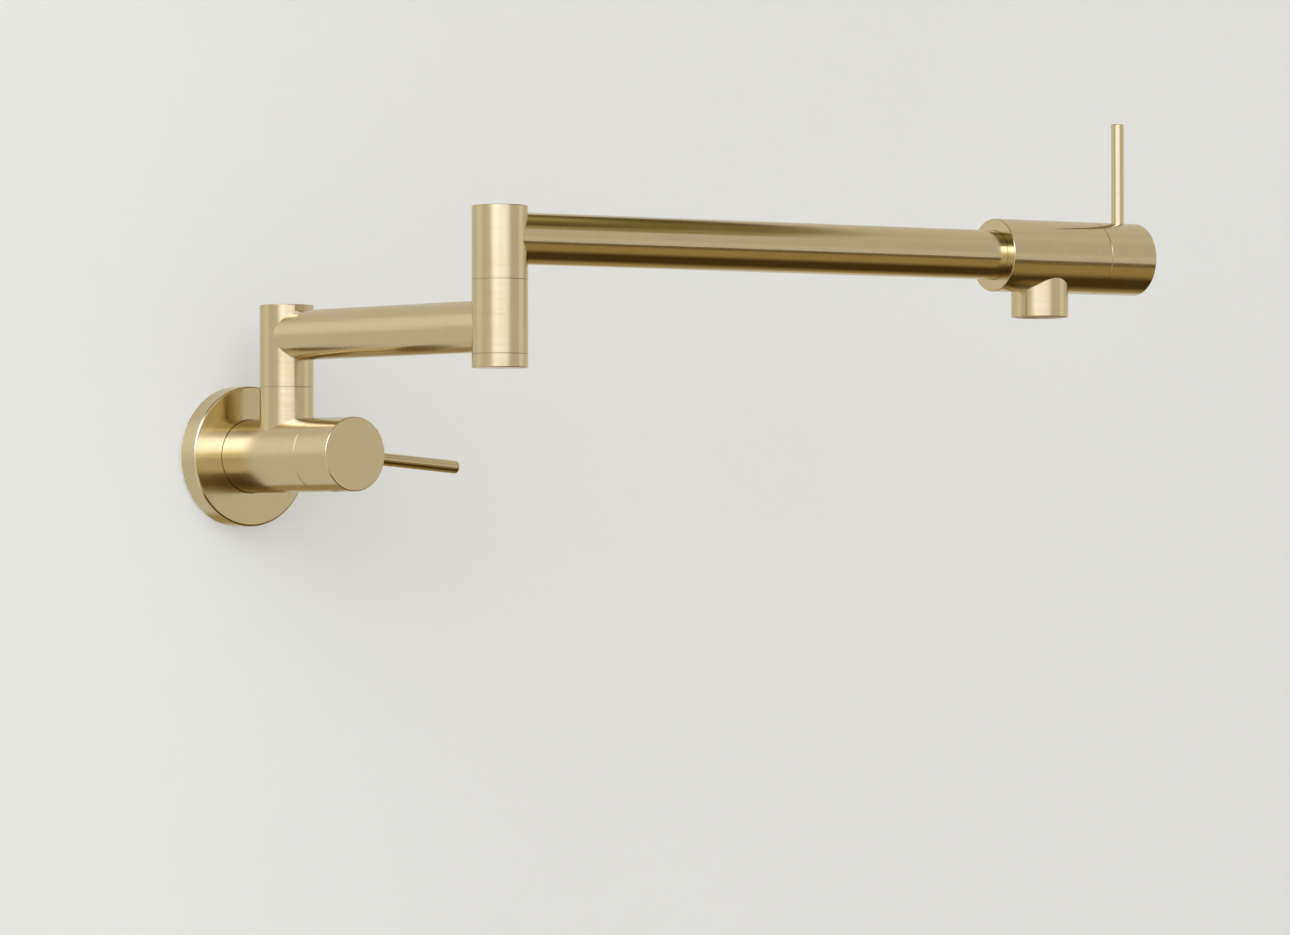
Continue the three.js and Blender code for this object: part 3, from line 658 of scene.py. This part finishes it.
ARM_1_HEIGHT = 57.5
RISER_TOP = 72.4
SLEEVE_BORE = 11.6
LOWER_LEDGE = 2.6  # above the sleeve's foot
UPPER_LEDGE = 10.4  # above the arm's middle
CAP_RADIUS = 11.5
CAP_THICKNESS = 1.9


def sleeve(foot, arm, top):
    """The tube from foot to top, with an arm at a height between them. Its bore is wider at both ends."""
    lower_ledge = foot + LOWER_LEDGE
    upper_ledge = arm + UPPER_LEDGE
    return turned([
        (SLEEVE_BORE, foot), (POST_RADIUS, foot, POST_SEAM_EDGE), (POST_RADIUS, top, 0.45),
        (SLEEVE_BORE, top, 0.08), (SLEEVE_BORE, upper_ledge), (POST_BORE, upper_ledge),
        (POST_BORE, lower_ledge), (SLEEVE_BORE, lower_ledge),
    ])


def cap(top):
    """The flat disc, up to the post's top."""
    foot = top - CAP_THICKNESS
    return turned([(0, foot), (CAP_RADIUS, foot), (CAP_RADIUS, top, 0.1), (0, top)])


riser_sleeve = sleeve(RISER_SEAM + RISER_SEAM_HALF, ARM_1_HEIGHT, RISER_TOP)
fitted(riser_sleeve, "riser_sleeve_turned", AT_RISER, gold_at_riser,
       "inner_arm", "riser_sleeve")
fitted(cap(RISER_TOP), "riser_cap_pressed", AT_RISER, gold_at_riser,
       "inner_arm", "riser_cap")


# ---------------------------------------------------------------- first arm
# A plain brass tube, drawn to 24 mm. Its ends are fish-mouthed to fit round the riser and the elbow,
# and silver soldered to both.

ARM_RADIUS = 12
ARM_BORE = 10
ARM_1_REACH = 163
POST_SIDE = 5  # any distance inside the post: the fish-mouth sets the true one
SUNK_POST = POST_RADIUS - 0.15
ALONG_ARM_1 = AT_RISER @ Matrix.Translation((0, 0, ARM_1_HEIGHT * MM)) @ OUTWARD

gold_on_arm_1 = satin_gold("satin_gold_on_arm_1", ALONG_ARM_1)
arm_1_end = ARM_1_REACH - POST_SIDE
arm_1 = turned([
    (ARM_BORE, POST_SIDE), (ARM_RADIUS, POST_SIDE), (ARM_RADIUS, arm_1_end), (ARM_BORE, arm_1_end),
])
fish_mouthed(arm_1, POST_SIDE, SUNK_POST, 0, 1)
fish_mouthed(arm_1, arm_1_end, SUNK_POST, ARM_1_REACH, -1)
fitted(arm_1, "arm_1_tube_drawn", ALONG_ARM_1, gold_on_arm_1, "inner_arm", "arm_1_tube")


# ---------------------------------------------------------------- elbow, lower half
# The lower half of the elbow's post, soldered to the first arm and open below for assembly,
# and the turned cap that closes it, with a groove for a rubber ring.

ELBOW_BOTTOM = 38
ELBOW_CAP_SEAM = 44.5
CAP_SEAM_HALF = 0.06  # half the hairline between the post and its bottom cap
CAP_SEAM_EDGE = 0.08
ELBOW_SEAM = 78.7
ELBOW_SEAM_HALF = 0.035  # half the hairline between the elbow's two halves
PLUG_RADIUS = 9.7
PLUG_GROOVE = 7.8
AT_ELBOW = AT_RISER @ Matrix.Translation((0, -ARM_1_REACH * MM, 0))

gold_at_elbow = satin_gold("satin_gold_at_elbow", AT_ELBOW)
barrel_foot = ELBOW_CAP_SEAM + CAP_SEAM_HALF
barrel_top = ELBOW_SEAM - ELBOW_SEAM_HALF
lower_barrel = turned([
    (POST_BORE, barrel_foot), (POST_RADIUS, barrel_foot, CAP_SEAM_EDGE),
    (POST_RADIUS, barrel_top, POST_SEAM_EDGE), (POST_BORE, barrel_top),
])
fitted(lower_barrel, "elbow_lower_barrel_turned", AT_ELBOW, gold_at_elbow,
       "inner_arm", "elbow_lower_barrel")

cap_face = ELBOW_CAP_SEAM - CAP_SEAM_HALF
plug_face = ELBOW_CAP_SEAM - 0.15
groove_foot = plug_face + 0.7
groove_top = plug_face + 2.6
plug_top = plug_face + 3.3
bottom_cap = turned([
    (0, ELBOW_BOTTOM), (POST_RADIUS, ELBOW_BOTTOM, 0.45), (POST_RADIUS, cap_face, CAP_SEAM_EDGE),
    (PLUG_RADIUS, cap_face), (PLUG_RADIUS, groove_foot), (PLUG_GROOVE, groove_foot),
    (PLUG_GROOVE, groove_top), (PLUG_RADIUS, groove_top), (PLUG_RADIUS, plug_top), (0, plug_top),
])
fitted(bottom_cap, "elbow_bottom_cap_turned", AT_ELBOW, gold_at_elbow,
       "inner_arm", "elbow_bottom_cap")


# ---------------------------------------------------------------- elbow, upper half
# The half that turns with the second arm, on a hidden spindle. It is turned from brass as the riser's
# sleeve is, and closed by the same flat disc.

ARM_2_HEIGHT = 97.9
ELBOW_TOP = 112.7
ELBOW_TURN = math.radians(83)  # the second arm's turn from the first one
UPPER_ELBOW = AT_ELBOW @ Matrix.Rotation(ELBOW_TURN, 4, "Z")

gold_at_upper_elbow = satin_gold("satin_gold_at_upper_elbow", UPPER_ELBOW)
upper_barrel = sleeve(ELBOW_SEAM + ELBOW_SEAM_HALF, ARM_2_HEIGHT, ELBOW_TOP)
fitted(upper_barrel, "elbow_upper_barrel_turned", UPPER_ELBOW, gold_at_upper_elbow,
       "outer_arm", "elbow_upper_barrel")
fitted(cap(ELBOW_TOP), "elbow_top_cap_pressed", UPPER_ELBOW, gold_at_upper_elbow,
       "outer_arm", "elbow_top_cap")


# ---------------------------------------------------------------- second arm
# The long tube, drawn from brass as the first arm is. It is soldered to the elbow at one end and set
# 8 mm into the head at the other.

HEAD_REAR = 283
TUBE_SOCKET_DEPTH = 8
ALONG_ARM_2 = UPPER_ELBOW @ Matrix.Translation((0, 0, ARM_2_HEIGHT * MM)) @ OUTWARD

gold_on_arm_2 = satin_gold("satin_gold_on_arm_2", ALONG_ARM_2)
arm_2_end = HEAD_REAR + TUBE_SOCKET_DEPTH - 0.3
arm_2 = turned([
    (ARM_BORE, POST_SIDE), (ARM_RADIUS, POST_SIDE), (ARM_RADIUS, arm_2_end), (ARM_BORE, arm_2_end),
])
fish_mouthed(arm_2, POST_SIDE, SUNK_POST, 0, 1)
fitted(arm_2, "arm_2_tube_drawn", ALONG_ARM_2, gold_on_arm_2, "outer_arm", "arm_2_tube")


# ---------------------------------------------------------------- head
# The second valve body, at the end of the long arm: the same barrel as at the wall, bored for the tube
# behind and for the cartridge in front.

HEAD_SEAM = 343
HEAD_NUT_FLOOR = 331.5
HEAD_CARTRIDGE_FLOOR = 300.5

tube_socket = ARM_RADIUS + 0.12
tube_socket_floor = HEAD_REAR + TUBE_SOCKET_DEPTH
head_end = HEAD_SEAM - HUB_SEAM_HALF
head = turned([
    (tube_socket, HEAD_REAR, 0.1), (BARREL_RADIUS, HEAD_REAR, 0.45),
    (BARREL_RADIUS, head_end, HUB_SEAM_EDGE), (NUT_BORE, head_end),
    (NUT_BORE, HEAD_NUT_FLOOR), (CARTRIDGE_BORE, HEAD_NUT_FLOOR),
    (CARTRIDGE_BORE, HEAD_CARTRIDGE_FLOOR), (WATER_BORE, HEAD_CARTRIDGE_FLOOR),
    (WATER_BORE, tube_socket_floor), (tube_socket, tube_socket_floor),
], steps=160)
fitted(head, "head_body_turned", ALONG_ARM_2, gold_on_arm_2, "outer_arm", "head_body")


# ---------------------------------------------------------------- spout collar and aerator
# A short upright collar, fish-mouthed to the underside of the head and soldered there. The aerator
# screws up into it: a gold coated shell with a moulded white insert that has rings of small holes.

ARM_2_REACH = 311.5
COLLAR_RADIUS = 14
COLLAR_BORE = 12.3
COLLAR_BOTTOM = 68
AERATOR_SEAT = 78.4
SHELL_RADIUS = 12
SHELL_BORE = 10.3
SHELL_MOUTH = 9.2
INSERT_RADIUS = 9.8
INSERT_HOLE = 0.9
INSERT_RINGS = ((6, 3.3), (12, 6.6))  # each ring's holes, and its radius
AT_SPOUT = UPPER_ELBOW @ Matrix.Translation((0, -ARM_2_REACH * MM, 0))

gold_at_spout = satin_gold("satin_gold_at_spout", AT_SPOUT)
collar = turned([
    (COLLAR_BORE, COLLAR_BOTTOM, 0.3), (COLLAR_RADIUS, COLLAR_BOTTOM, 0.6),
    (COLLAR_RADIUS, ARM_2_HEIGHT), (WATER_BORE, ARM_2_HEIGHT),
    (WATER_BORE, AERATOR_SEAT), (COLLAR_BORE, AERATOR_SEAT),
])
fish_mouthed(collar, ARM_2_HEIGHT, SUNK_BARREL, ARM_2_HEIGHT, -1)
fitted(collar, "spout_collar_soldered", AT_SPOUT, gold_at_spout,
       "outer_arm", "spout_collar")

shell_foot = COLLAR_BOTTOM + 0.4
shell_lip = shell_foot + 1.2
shell_top = AERATOR_SEAT - 2.1
shell = turned([
    (SHELL_MOUTH, shell_foot, 0.3), (SHELL_RADIUS, shell_foot, 0.4), (SHELL_RADIUS, shell_top),
    (SHELL_BORE, shell_top), (SHELL_BORE, shell_lip), (SHELL_MOUTH, shell_lip, 0.2),
])
fitted(shell, "aerator_housing_turned", AT_SPOUT, gold_at_spout,
       "outer_arm", "aerator_housing")


def moulded_plastic(name, dark, light):
    material = new_material(name)
    cloud = blotches(material, 500)
    roughness = ranged(material, cloud, 0.38, 0.5)
    surface(material, toned(material, cloud, dark, light), roughness, cloud, depth=6e-6, metallic=0.0)
    return material


white_plastic = moulded_plastic("white_plastic", (0.62, 0.63, 0.64), (0.72, 0.73, 0.74))
insert_holes = [(0, 0, INSERT_HOLE)]
for count, radius in INSERT_RINGS:
    for index in range(count):
        angle = math.tau * index / count
        insert_holes.append((radius * math.cos(angle), radius * math.sin(angle), INSERT_HOLE))
insert_foot = COLLAR_BOTTOM + 1.9
insert_top = AERATOR_SEAT - 2.4
insert = blanked(INSERT_RADIUS, insert_holes, insert_foot, insert_top, steps=96)
fitted(insert, "aerator_insert_moulded", AT_SPOUT, white_plastic,
       "outer_arm", "aerator_insert")


# ---------------------------------------------------------------- spout handle
# The same brass hub and rod as at the wall, with the rod standing upright. Its locking screw is on
# the side towards the wall.

SPOUT_HANDLE = ALONG_ARM_2 @ Matrix.Rotation(math.radians(90), 4, "Z")

fit_handle("spout", SPOUT_HANDLE, HEAD_SEAM, end=370.5, lever_at=360, reach=66.8)


# ---------------------------------------------------------------- inside the tap
# Cartridges, seals, spindles and small screws sit inside. They keep the shapes of the frame and get
# their own finishes: machined brass, plain steel, lapped ceramic, black rubber and white plastic.

AT_ORIGIN = Matrix.Identity(4)


def lapped_ceramic(name, dark, light):
    material = new_material(name)
    cloud = blotches(material, 700)
    roughness = ranged(material, cloud, 0.12, 0.2)
    surface(material, toned(material, cloud, dark, light), roughness, cloud, depth=2e-6, metallic=0.0)
    return material


inner_finishes = {
    "raw_brass": raw_brass("raw_brass_inside", AT_ORIGIN),
    "steel": plain_steel("steel_inside", AT_ORIGIN),
    "ceramic": lapped_ceramic("white_ceramic", (0.78, 0.77, 0.74), (0.86, 0.85, 0.82)),
    "rubber": soft_rubber("black_rubber", (0.010, 0.010, 0.011), (0.022, 0.022, 0.023)),
    "plastic": white_plastic,
    "satin_gold": gold_at_wall,
}
for subpart in frame["record"]["subparts"]:
    node = frame["nodes"][subpart["node"]]
    node.data.materials.clear()
    node.data.materials.append(inner_finishes[subpart["material_slot"]])


# ---------------------------------------------------------------- wall and floor
# A pale painted wall that the tap hangs on, with the round hole that the cover hides, and a pale floor.
# Seen from behind or below they let the view through, so that the fixing and the underside show. The
# wall doesn't show in the metal: the light from all sides stands in for it there. A share of the wall's
# tone is painted light: it glows for the camera, which fills in the shadows on it, and it is painted
# lighter on the window's side.

FLOOR_LEVEL = -0.45  # metres, as for all that stands round the tap
FLOOR_SIZE = 8
FLOOR_REAR = 0.1  # the floor goes on this far behind the wall
WALL_SIZE = 6
WALL_HOLE = 0.0325
WALL_FRONT = 0.0003  # a hair behind the plate and the gasket
PAINTED_LIGHT_SHARE = 0.4  # painted light: this share of the wall's tone glows, which keeps shadows on it faint
PAINTED_LIGHT_WINDOW_SIDE = (0.82, 0.825, 0.78)  # the glow is painted lighter on the window's side
PAINTED_LIGHT_FAR_SIDE = (0.735, 0.727, 0.69)
PAINTED_LIGHT_WINDOW_SIDE_AT = -0.16
PAINTED_LIGHT_FAR_SIDE_AT = 0.14


def mixed(material, share, first, second):
    return add_node(material, "ShaderNodeMixShader", _0=share, _1=first, _2=second).outputs[0]


def pale_paint(name, dark, light, painted_light_share=0.0):
    """Matt paint that can't be seen from behind. The given share is painted light, a glow without shadow."""
    material = new_material(name)
    cloud = blotches(material, 3)
    roughness = ranged(material, cloud, 0.6, 0.7)
    colour = toned(material, cloud, dark, light)
    painted = surface(material, colour, roughness, cloud, depth=1e-4, metallic=0.0)
    painted.inputs["Specular IOR Level"].default_value = 0.2
    across = separated(material, object_coordinates(material))["X"]
    to_right = rescaled(material, across, PAINTED_LIGHT_WINDOW_SIDE_AT, PAINTED_LIGHT_FAR_SIDE_AT)
    tone = graded(material, to_right, [(0.0, PAINTED_LIGHT_WINDOW_SIDE), (1.0, PAINTED_LIGHT_FAR_SIDE)])
    # painted light: a glow that takes no shadow, lighter on the window's side, which fills in the shadows
    even = add_node(material, "ShaderNodeEmission", Color=tone, Strength=1.0).outputs[0]
    to_camera = add_node(material, "ShaderNodeLightPath").outputs["Is Camera Ray"]
    painted_light_part = calculated(material, "MULTIPLY", to_camera, painted_light_share)
    soft = mixed(material, painted_light_part, painted.outputs[0], even)
    from_behind = add_node(material, "ShaderNodeNewGeometry").outputs["Backfacing"]
    see_through = calculated(material, "MULTIPLY", from_behind, to_camera)
    clear = add_node(material, "ShaderNodeBsdfTransparent").outputs[0]
    one_sided = mixed(material, see_through, soft, clear)
    tree = material.node_tree
    tree.links.new(one_sided, tree.nodes["Material Output"].inputs["Surface"])
    return material


def staged(bm, name, material):
    """Puts a shape in as an object of its own, outside the tap's bodies."""
    mesh = bpy.data.meshes.new(name)
    bm.to_mesh(mesh)
    bm.free()
    mesh.materials.append(material)
    stage = bpy.data.objects.new(name, mesh)
    bpy.context.collection.objects.link(stage)
    return stage


def flat(low, high, level):
    """A level sheet between two (x, y) corners."""
    bm = bmesh.new()
    middle = Matrix.Translation(((low[0] + high[0]) / 2, (low[1] + high[1]) / 2, level))
    size = Matrix.Diagonal(((high[0] - low[0]) / 2, (high[1] - low[1]) / 2, 1, 1))
    bmesh.ops.create_grid(bm, x_segments=1, y_segments=1, size=1, matrix=middle @ size)
    return bm


wall = flat((-WALL_SIZE / 2, FLOOR_LEVEL), (WALL_SIZE / 2, FLOOR_LEVEL + WALL_SIZE), 0)
bmesh.ops.delete(wall, geom=wall.faces[:], context="FACES_ONLY")
bmesh.ops.create_circle(wall, segments=64, radius=WALL_HOLE)
bmesh.ops.triangle_fill(wall, use_beauty=True, edges=wall.edges[:], normal=(0, 0, 1))
wall.transform(Matrix.Translation((0, WALL_FRONT, 0)) @ OUTWARD)
# The wall's paint carries painted light: a share of it glows, lighter on the window's side.
wall_paint_and_painted_light = pale_paint("wall_paint_and_painted_light", (0.78, 0.77, 0.74), (0.80, 0.79, 0.76), painted_light_share=PAINTED_LIGHT_SHARE)
staged(wall, "wall", wall_paint_and_painted_light).visible_glossy = False

floor = flat((-FLOOR_SIZE / 2, FLOOR_REAR - FLOOR_SIZE), (FLOOR_SIZE / 2, FLOOR_REAR), FLOOR_LEVEL)
staged(floor, "floor", pale_paint("floor_paint", (0.77, 0.765, 0.75), (0.80, 0.795, 0.78)))


# ---------------------------------------------------------------- cards
# Cards in dull colours, which only reflections show. A dark one lies under the tap and fades to brown
# in front, with a brown one behind it. Two hang over the elbow and the long arm, shaded in dull stripes.
# They give the arms their long dark lines.

CARD_UNDER = -0.32
CARD_OVER = 0.36
BLACK = (0.07, 0.045, 0.01)
BROWN = (0.36, 0.27, 0.11)
UMBER = (0.17, 0.125, 0.05)
BISTRE = (0.12, 0.09, 0.03)
SLATE = (0.20, 0.17, 0.055)
OLIVE = (0.29, 0.24, 0.09)
TAUPE = (0.38, 0.33, 0.15)


def card(name, level, low, high, shades):
    """A level card between two (x, y) corners, with (part of the way out from the wall, colour) shades."""
    material = new_material(name)
    away = separated(material, object_coordinates(material))["Y"]
    shade = graded(material, rescaled(material, away, high[1], low[1]), shades)
    glow = add_node(material, "ShaderNodeEmission", Color=shade, Strength=1.0)
    tree = material.node_tree
    tree.links.new(glow.outputs[0], tree.nodes["Material Output"].inputs["Surface"])
    stage = staged(flat(low, high, level), name, material)
    stage.visible_camera = False
    stage.visible_diffuse = False
    stage.visible_shadow = False
    stage.visible_transmission = False


card(
    "dark_card_below", CARD_UNDER, (-0.26, -2.05), (1.5, 0.15),
    [
        (0.0, BROWN), (0.06, BROWN), (0.14, BLACK), (0.26, BLACK), (0.34, BROWN), (0.53, BROWN),
        (0.65, UMBER), (1.0, UMBER),
    ],
)
card("dark_card_behind", CARD_UNDER, (0.08, 0.15), (0.60, 0.70), [(0.0, BROWN), (1.0, BROWN)])
card(
    "dark_card_over_elbow", CARD_OVER, (-0.25, -0.53), (0.22, -0.01),
    [
        (0.0, SLATE), (0.22, SLATE), (0.34, TAUPE), (0.40, TAUPE), (0.52, SLATE), (0.64, BISTRE),
        (0.74, BISTRE), (0.82, TAUPE), (1.0, TAUPE),
    ],
)
card(
    "dark_card_over_arm", CARD_OVER, (0.22, -0.53), (0.36, -0.01),
    [
        (0.0, SLATE), (0.18, BISTRE), (0.30, BISTRE), (0.42, SLATE), (0.66, SLATE), (0.74, OLIVE),
        (0.90, OLIVE), (1.0, TAUPE),
    ],
)


# ---------------------------------------------------------------- light from all sides
# An even pale light. Behind the camera and up from eye level it glows softly, like a big window with
# a thin curtain, and two weak round glows stand at the upper left and far right. Faint darker levels
# in front of the wall draw fine lines on the metal.

SIGHT_TURN = math.radians(40.457)  # the camera's, to the right of straight at the wall
WINDOW_TURN = SIGHT_TURN - math.radians(5.5)
WINDOW_EDGES = (46, 11)  # degrees from its middle, where it starts and where it is full
WINDOW_STRENGTH = 1.6
WINDOW_LEVELS = (  # (height, part of the strength), where 0 is straight down and 1 is straight up
    (0.30, 0.0), (0.42, 0.25), (0.50, 0.24), (0.53, 0.29), (0.59, 1.05), (0.66, 1.35), (0.76, 1.3),
    (0.90, 0.0),
)
WINDOW_COLOURS = ((0.56, (0.92, 1.0, 1.18)), (0.62, (0.88, 1.0, 1.80)))  # bluer above, in reflections
PALE_LIGHT = (0.66, 0.63, 0.55, 1)
PALE_IN_VIEW = (0.80, 0.80, 0.79, 1)  # what the camera sees past the wall and floor
DARKER_LEVELS = (  # (height, what they take away)
    (0.52, 0.0), (0.57, 0.13), (0.77, 0.11), (0.83, 0.0), (0.86, 0.0), (0.885, 0.08), (0.905, 0.08),
    (0.93, 0.0),
)
DARKER_FROM = (-0.05, -0.25)  # a direction's Y, where they start and where they are full
GLOW_COLOUR = (1.0, 1.0, 0.98, 1)
LEFT_GLOW = Vector((-0.66, 0.65, 0.37)).normalized()
LEFT_GLOW_EDGES = (29, 5)
LEFT_GLOW_STRENGTH = 0.25
RIGHT_GLOW = Vector((0.844, -0.537, 0))
RIGHT_GLOW_EDGES = (17, 4)
RIGHT_GLOW_STRENGTH = 0.20

scene = bpy.context.scene
surroundings = bpy.data.worlds.new("surroundings")
surroundings.use_nodes = True
scene.world = surroundings


def levelled(height, levels, interpolation="LINEAR"):
    """The output that gives a strength at each height."""
    return graded(surroundings, height, [(at, (level,) * 3) for at, level in levels], interpolation)


def faded(way, middle, edges, strength=1.0):
    """The output that grows from nothing at the outer edge, in degrees from the middle, to its full
    strength at the inner one."""
    start, end = (math.cos(math.radians(edge)) for edge in edges)
    closeness = dot_product(surroundings, way, middle)
    return rescaled(surroundings, closeness, start, end, 0.0, strength, "SMOOTHSTEP")


def light_of(colour, strength):
    return add_node(surroundings, "ShaderNodeBackground", Color=colour, Strength=strength).outputs[0]


def both_lights(first, second):
    return add_node(surroundings, "ShaderNodeAddShader", _0=first, _1=second).outputs[0]


direction = add_node(surroundings, "ShaderNodeTexCoord").outputs["Generated"]
parts = separated(surroundings, direction)
height = rescaled(surroundings, parts["Z"], -1.0, 1.0)
light_path = add_node(surroundings, "ShaderNodeLightPath").outputs

in_front = rescaled(surroundings, parts["Y"], *DARKER_FROM)
dimming = calculated(surroundings, "MULTIPLY", levelled(height, DARKER_LEVELS), in_front)
pale_light = light_of(PALE_LIGHT, calculated(surroundings, "SUBTRACT", 1.0, dimming))

level_way = add_node(surroundings, "ShaderNodeCombineXYZ", X=parts["X"], Y=parts["Y"]).outputs[0]
heading = vector_of(surroundings, "NORMALIZE", level_way)
window_middle = Vector((-math.sin(WINDOW_TURN), -math.cos(WINDOW_TURN), 0))
sideways = faded(heading, window_middle, WINDOW_EDGES)
glowing = calculated(surroundings, "MULTIPLY", sideways, levelled(height, WINDOW_LEVELS, "EASE"))
height_in_metal = calculated(surroundings, "MULTIPLY", height, light_path["Is Glossy Ray"])
window_colour = graded(surroundings, height_in_metal, WINDOW_COLOURS)
window_light = light_of(window_colour, calculated(surroundings, "MULTIPLY", glowing, WINDOW_STRENGTH))

left_glow = light_of(GLOW_COLOUR, faded(direction, LEFT_GLOW, LEFT_GLOW_EDGES, LEFT_GLOW_STRENGTH))
right_glow = light_of(GLOW_COLOUR, faded(direction, RIGHT_GLOW, RIGHT_GLOW_EDGES, RIGHT_GLOW_STRENGTH))

all_light = both_lights(both_lights(pale_light, window_light), both_lights(left_glow, right_glow))
to_camera = light_path["Is Camera Ray"]
seen = mixed(surroundings, to_camera, all_light, light_of(PALE_IN_VIEW, 1.0))
surroundings.node_tree.links.new(seen, surroundings.node_tree.nodes["World Output"].inputs["Surface"])


# ---------------------------------------------------------------- lamp
# One large soft lamp, high on the left and a little in front. It throws the tap's faint shadow
# down the wall to the right.

LAMP_TURN = math.radians(-58)
LAMP_RISE = math.radians(35)
LAMP_AIM = Vector((-0.1, 0, 0))
LAMP_DISTANCE = 1.7
LAMP_WIDTH = 1.8
LAMP_POWER = 6.3

lamp_data = bpy.data.lights.new("key_lamp", "AREA")
lamp_data.shape = "ELLIPSE"
lamp_data.size = LAMP_WIDTH
lamp_data.size_y = LAMP_WIDTH
lamp_data.energy = LAMP_POWER
lamp = bpy.data.objects.new("key_lamp", lamp_data)
scene.collection.objects.link(lamp)
raised = Matrix.Rotation(-LAMP_RISE, 3, "X") @ Vector((0, -1, 0))
lamp_side = Matrix.Rotation(LAMP_TURN, 3, "Z") @ raised
lamp.location = LAMP_AIM + lamp_side * LAMP_DISTANCE
lamp.rotation_euler = lamp_side.to_track_quat("Z", "Y").to_euler()


# ---------------------------------------------------------------- camera
# It stands to the left of the tap and a little below it, and looks slightly up. Its long lens keeps
# level and upright edges nearly parallel.

SIGHT_RISE = math.radians(0.877)
SIGHT_ROLL = math.radians(-0.048)
CAMERA_PLACE = (-1.6456, -2.2365, -0.0478)
LENS = 158.89  # millimetres
SENSOR_WIDTH = 36  # millimetres

looking = Vector((
    math.sin(SIGHT_TURN) * math.cos(SIGHT_RISE),
    math.cos(SIGHT_TURN) * math.cos(SIGHT_RISE),
    math.sin(SIGHT_RISE),
))
level_right = Vector((math.cos(SIGHT_TURN), -math.sin(SIGHT_TURN), 0))
level_up = level_right.cross(looking)
right = math.cos(SIGHT_ROLL) * level_right + math.sin(SIGHT_ROLL) * level_up
up = -math.sin(SIGHT_ROLL) * level_right + math.cos(SIGHT_ROLL) * level_up
camera_data = bpy.data.cameras.new("camera")
camera_data.sensor_fit = "HORIZONTAL"
camera_data.sensor_width = SENSOR_WIDTH
camera_data.lens = LENS
camera = bpy.data.objects.new("camera", camera_data)
scene.collection.objects.link(camera)
facing = Matrix((right, up, -looking)).transposed().to_4x4()
camera.matrix_world = Matrix.Translation(CAMERA_PLACE) @ facing
scene.camera = camera
scene.view_settings.view_transform = "Standard"
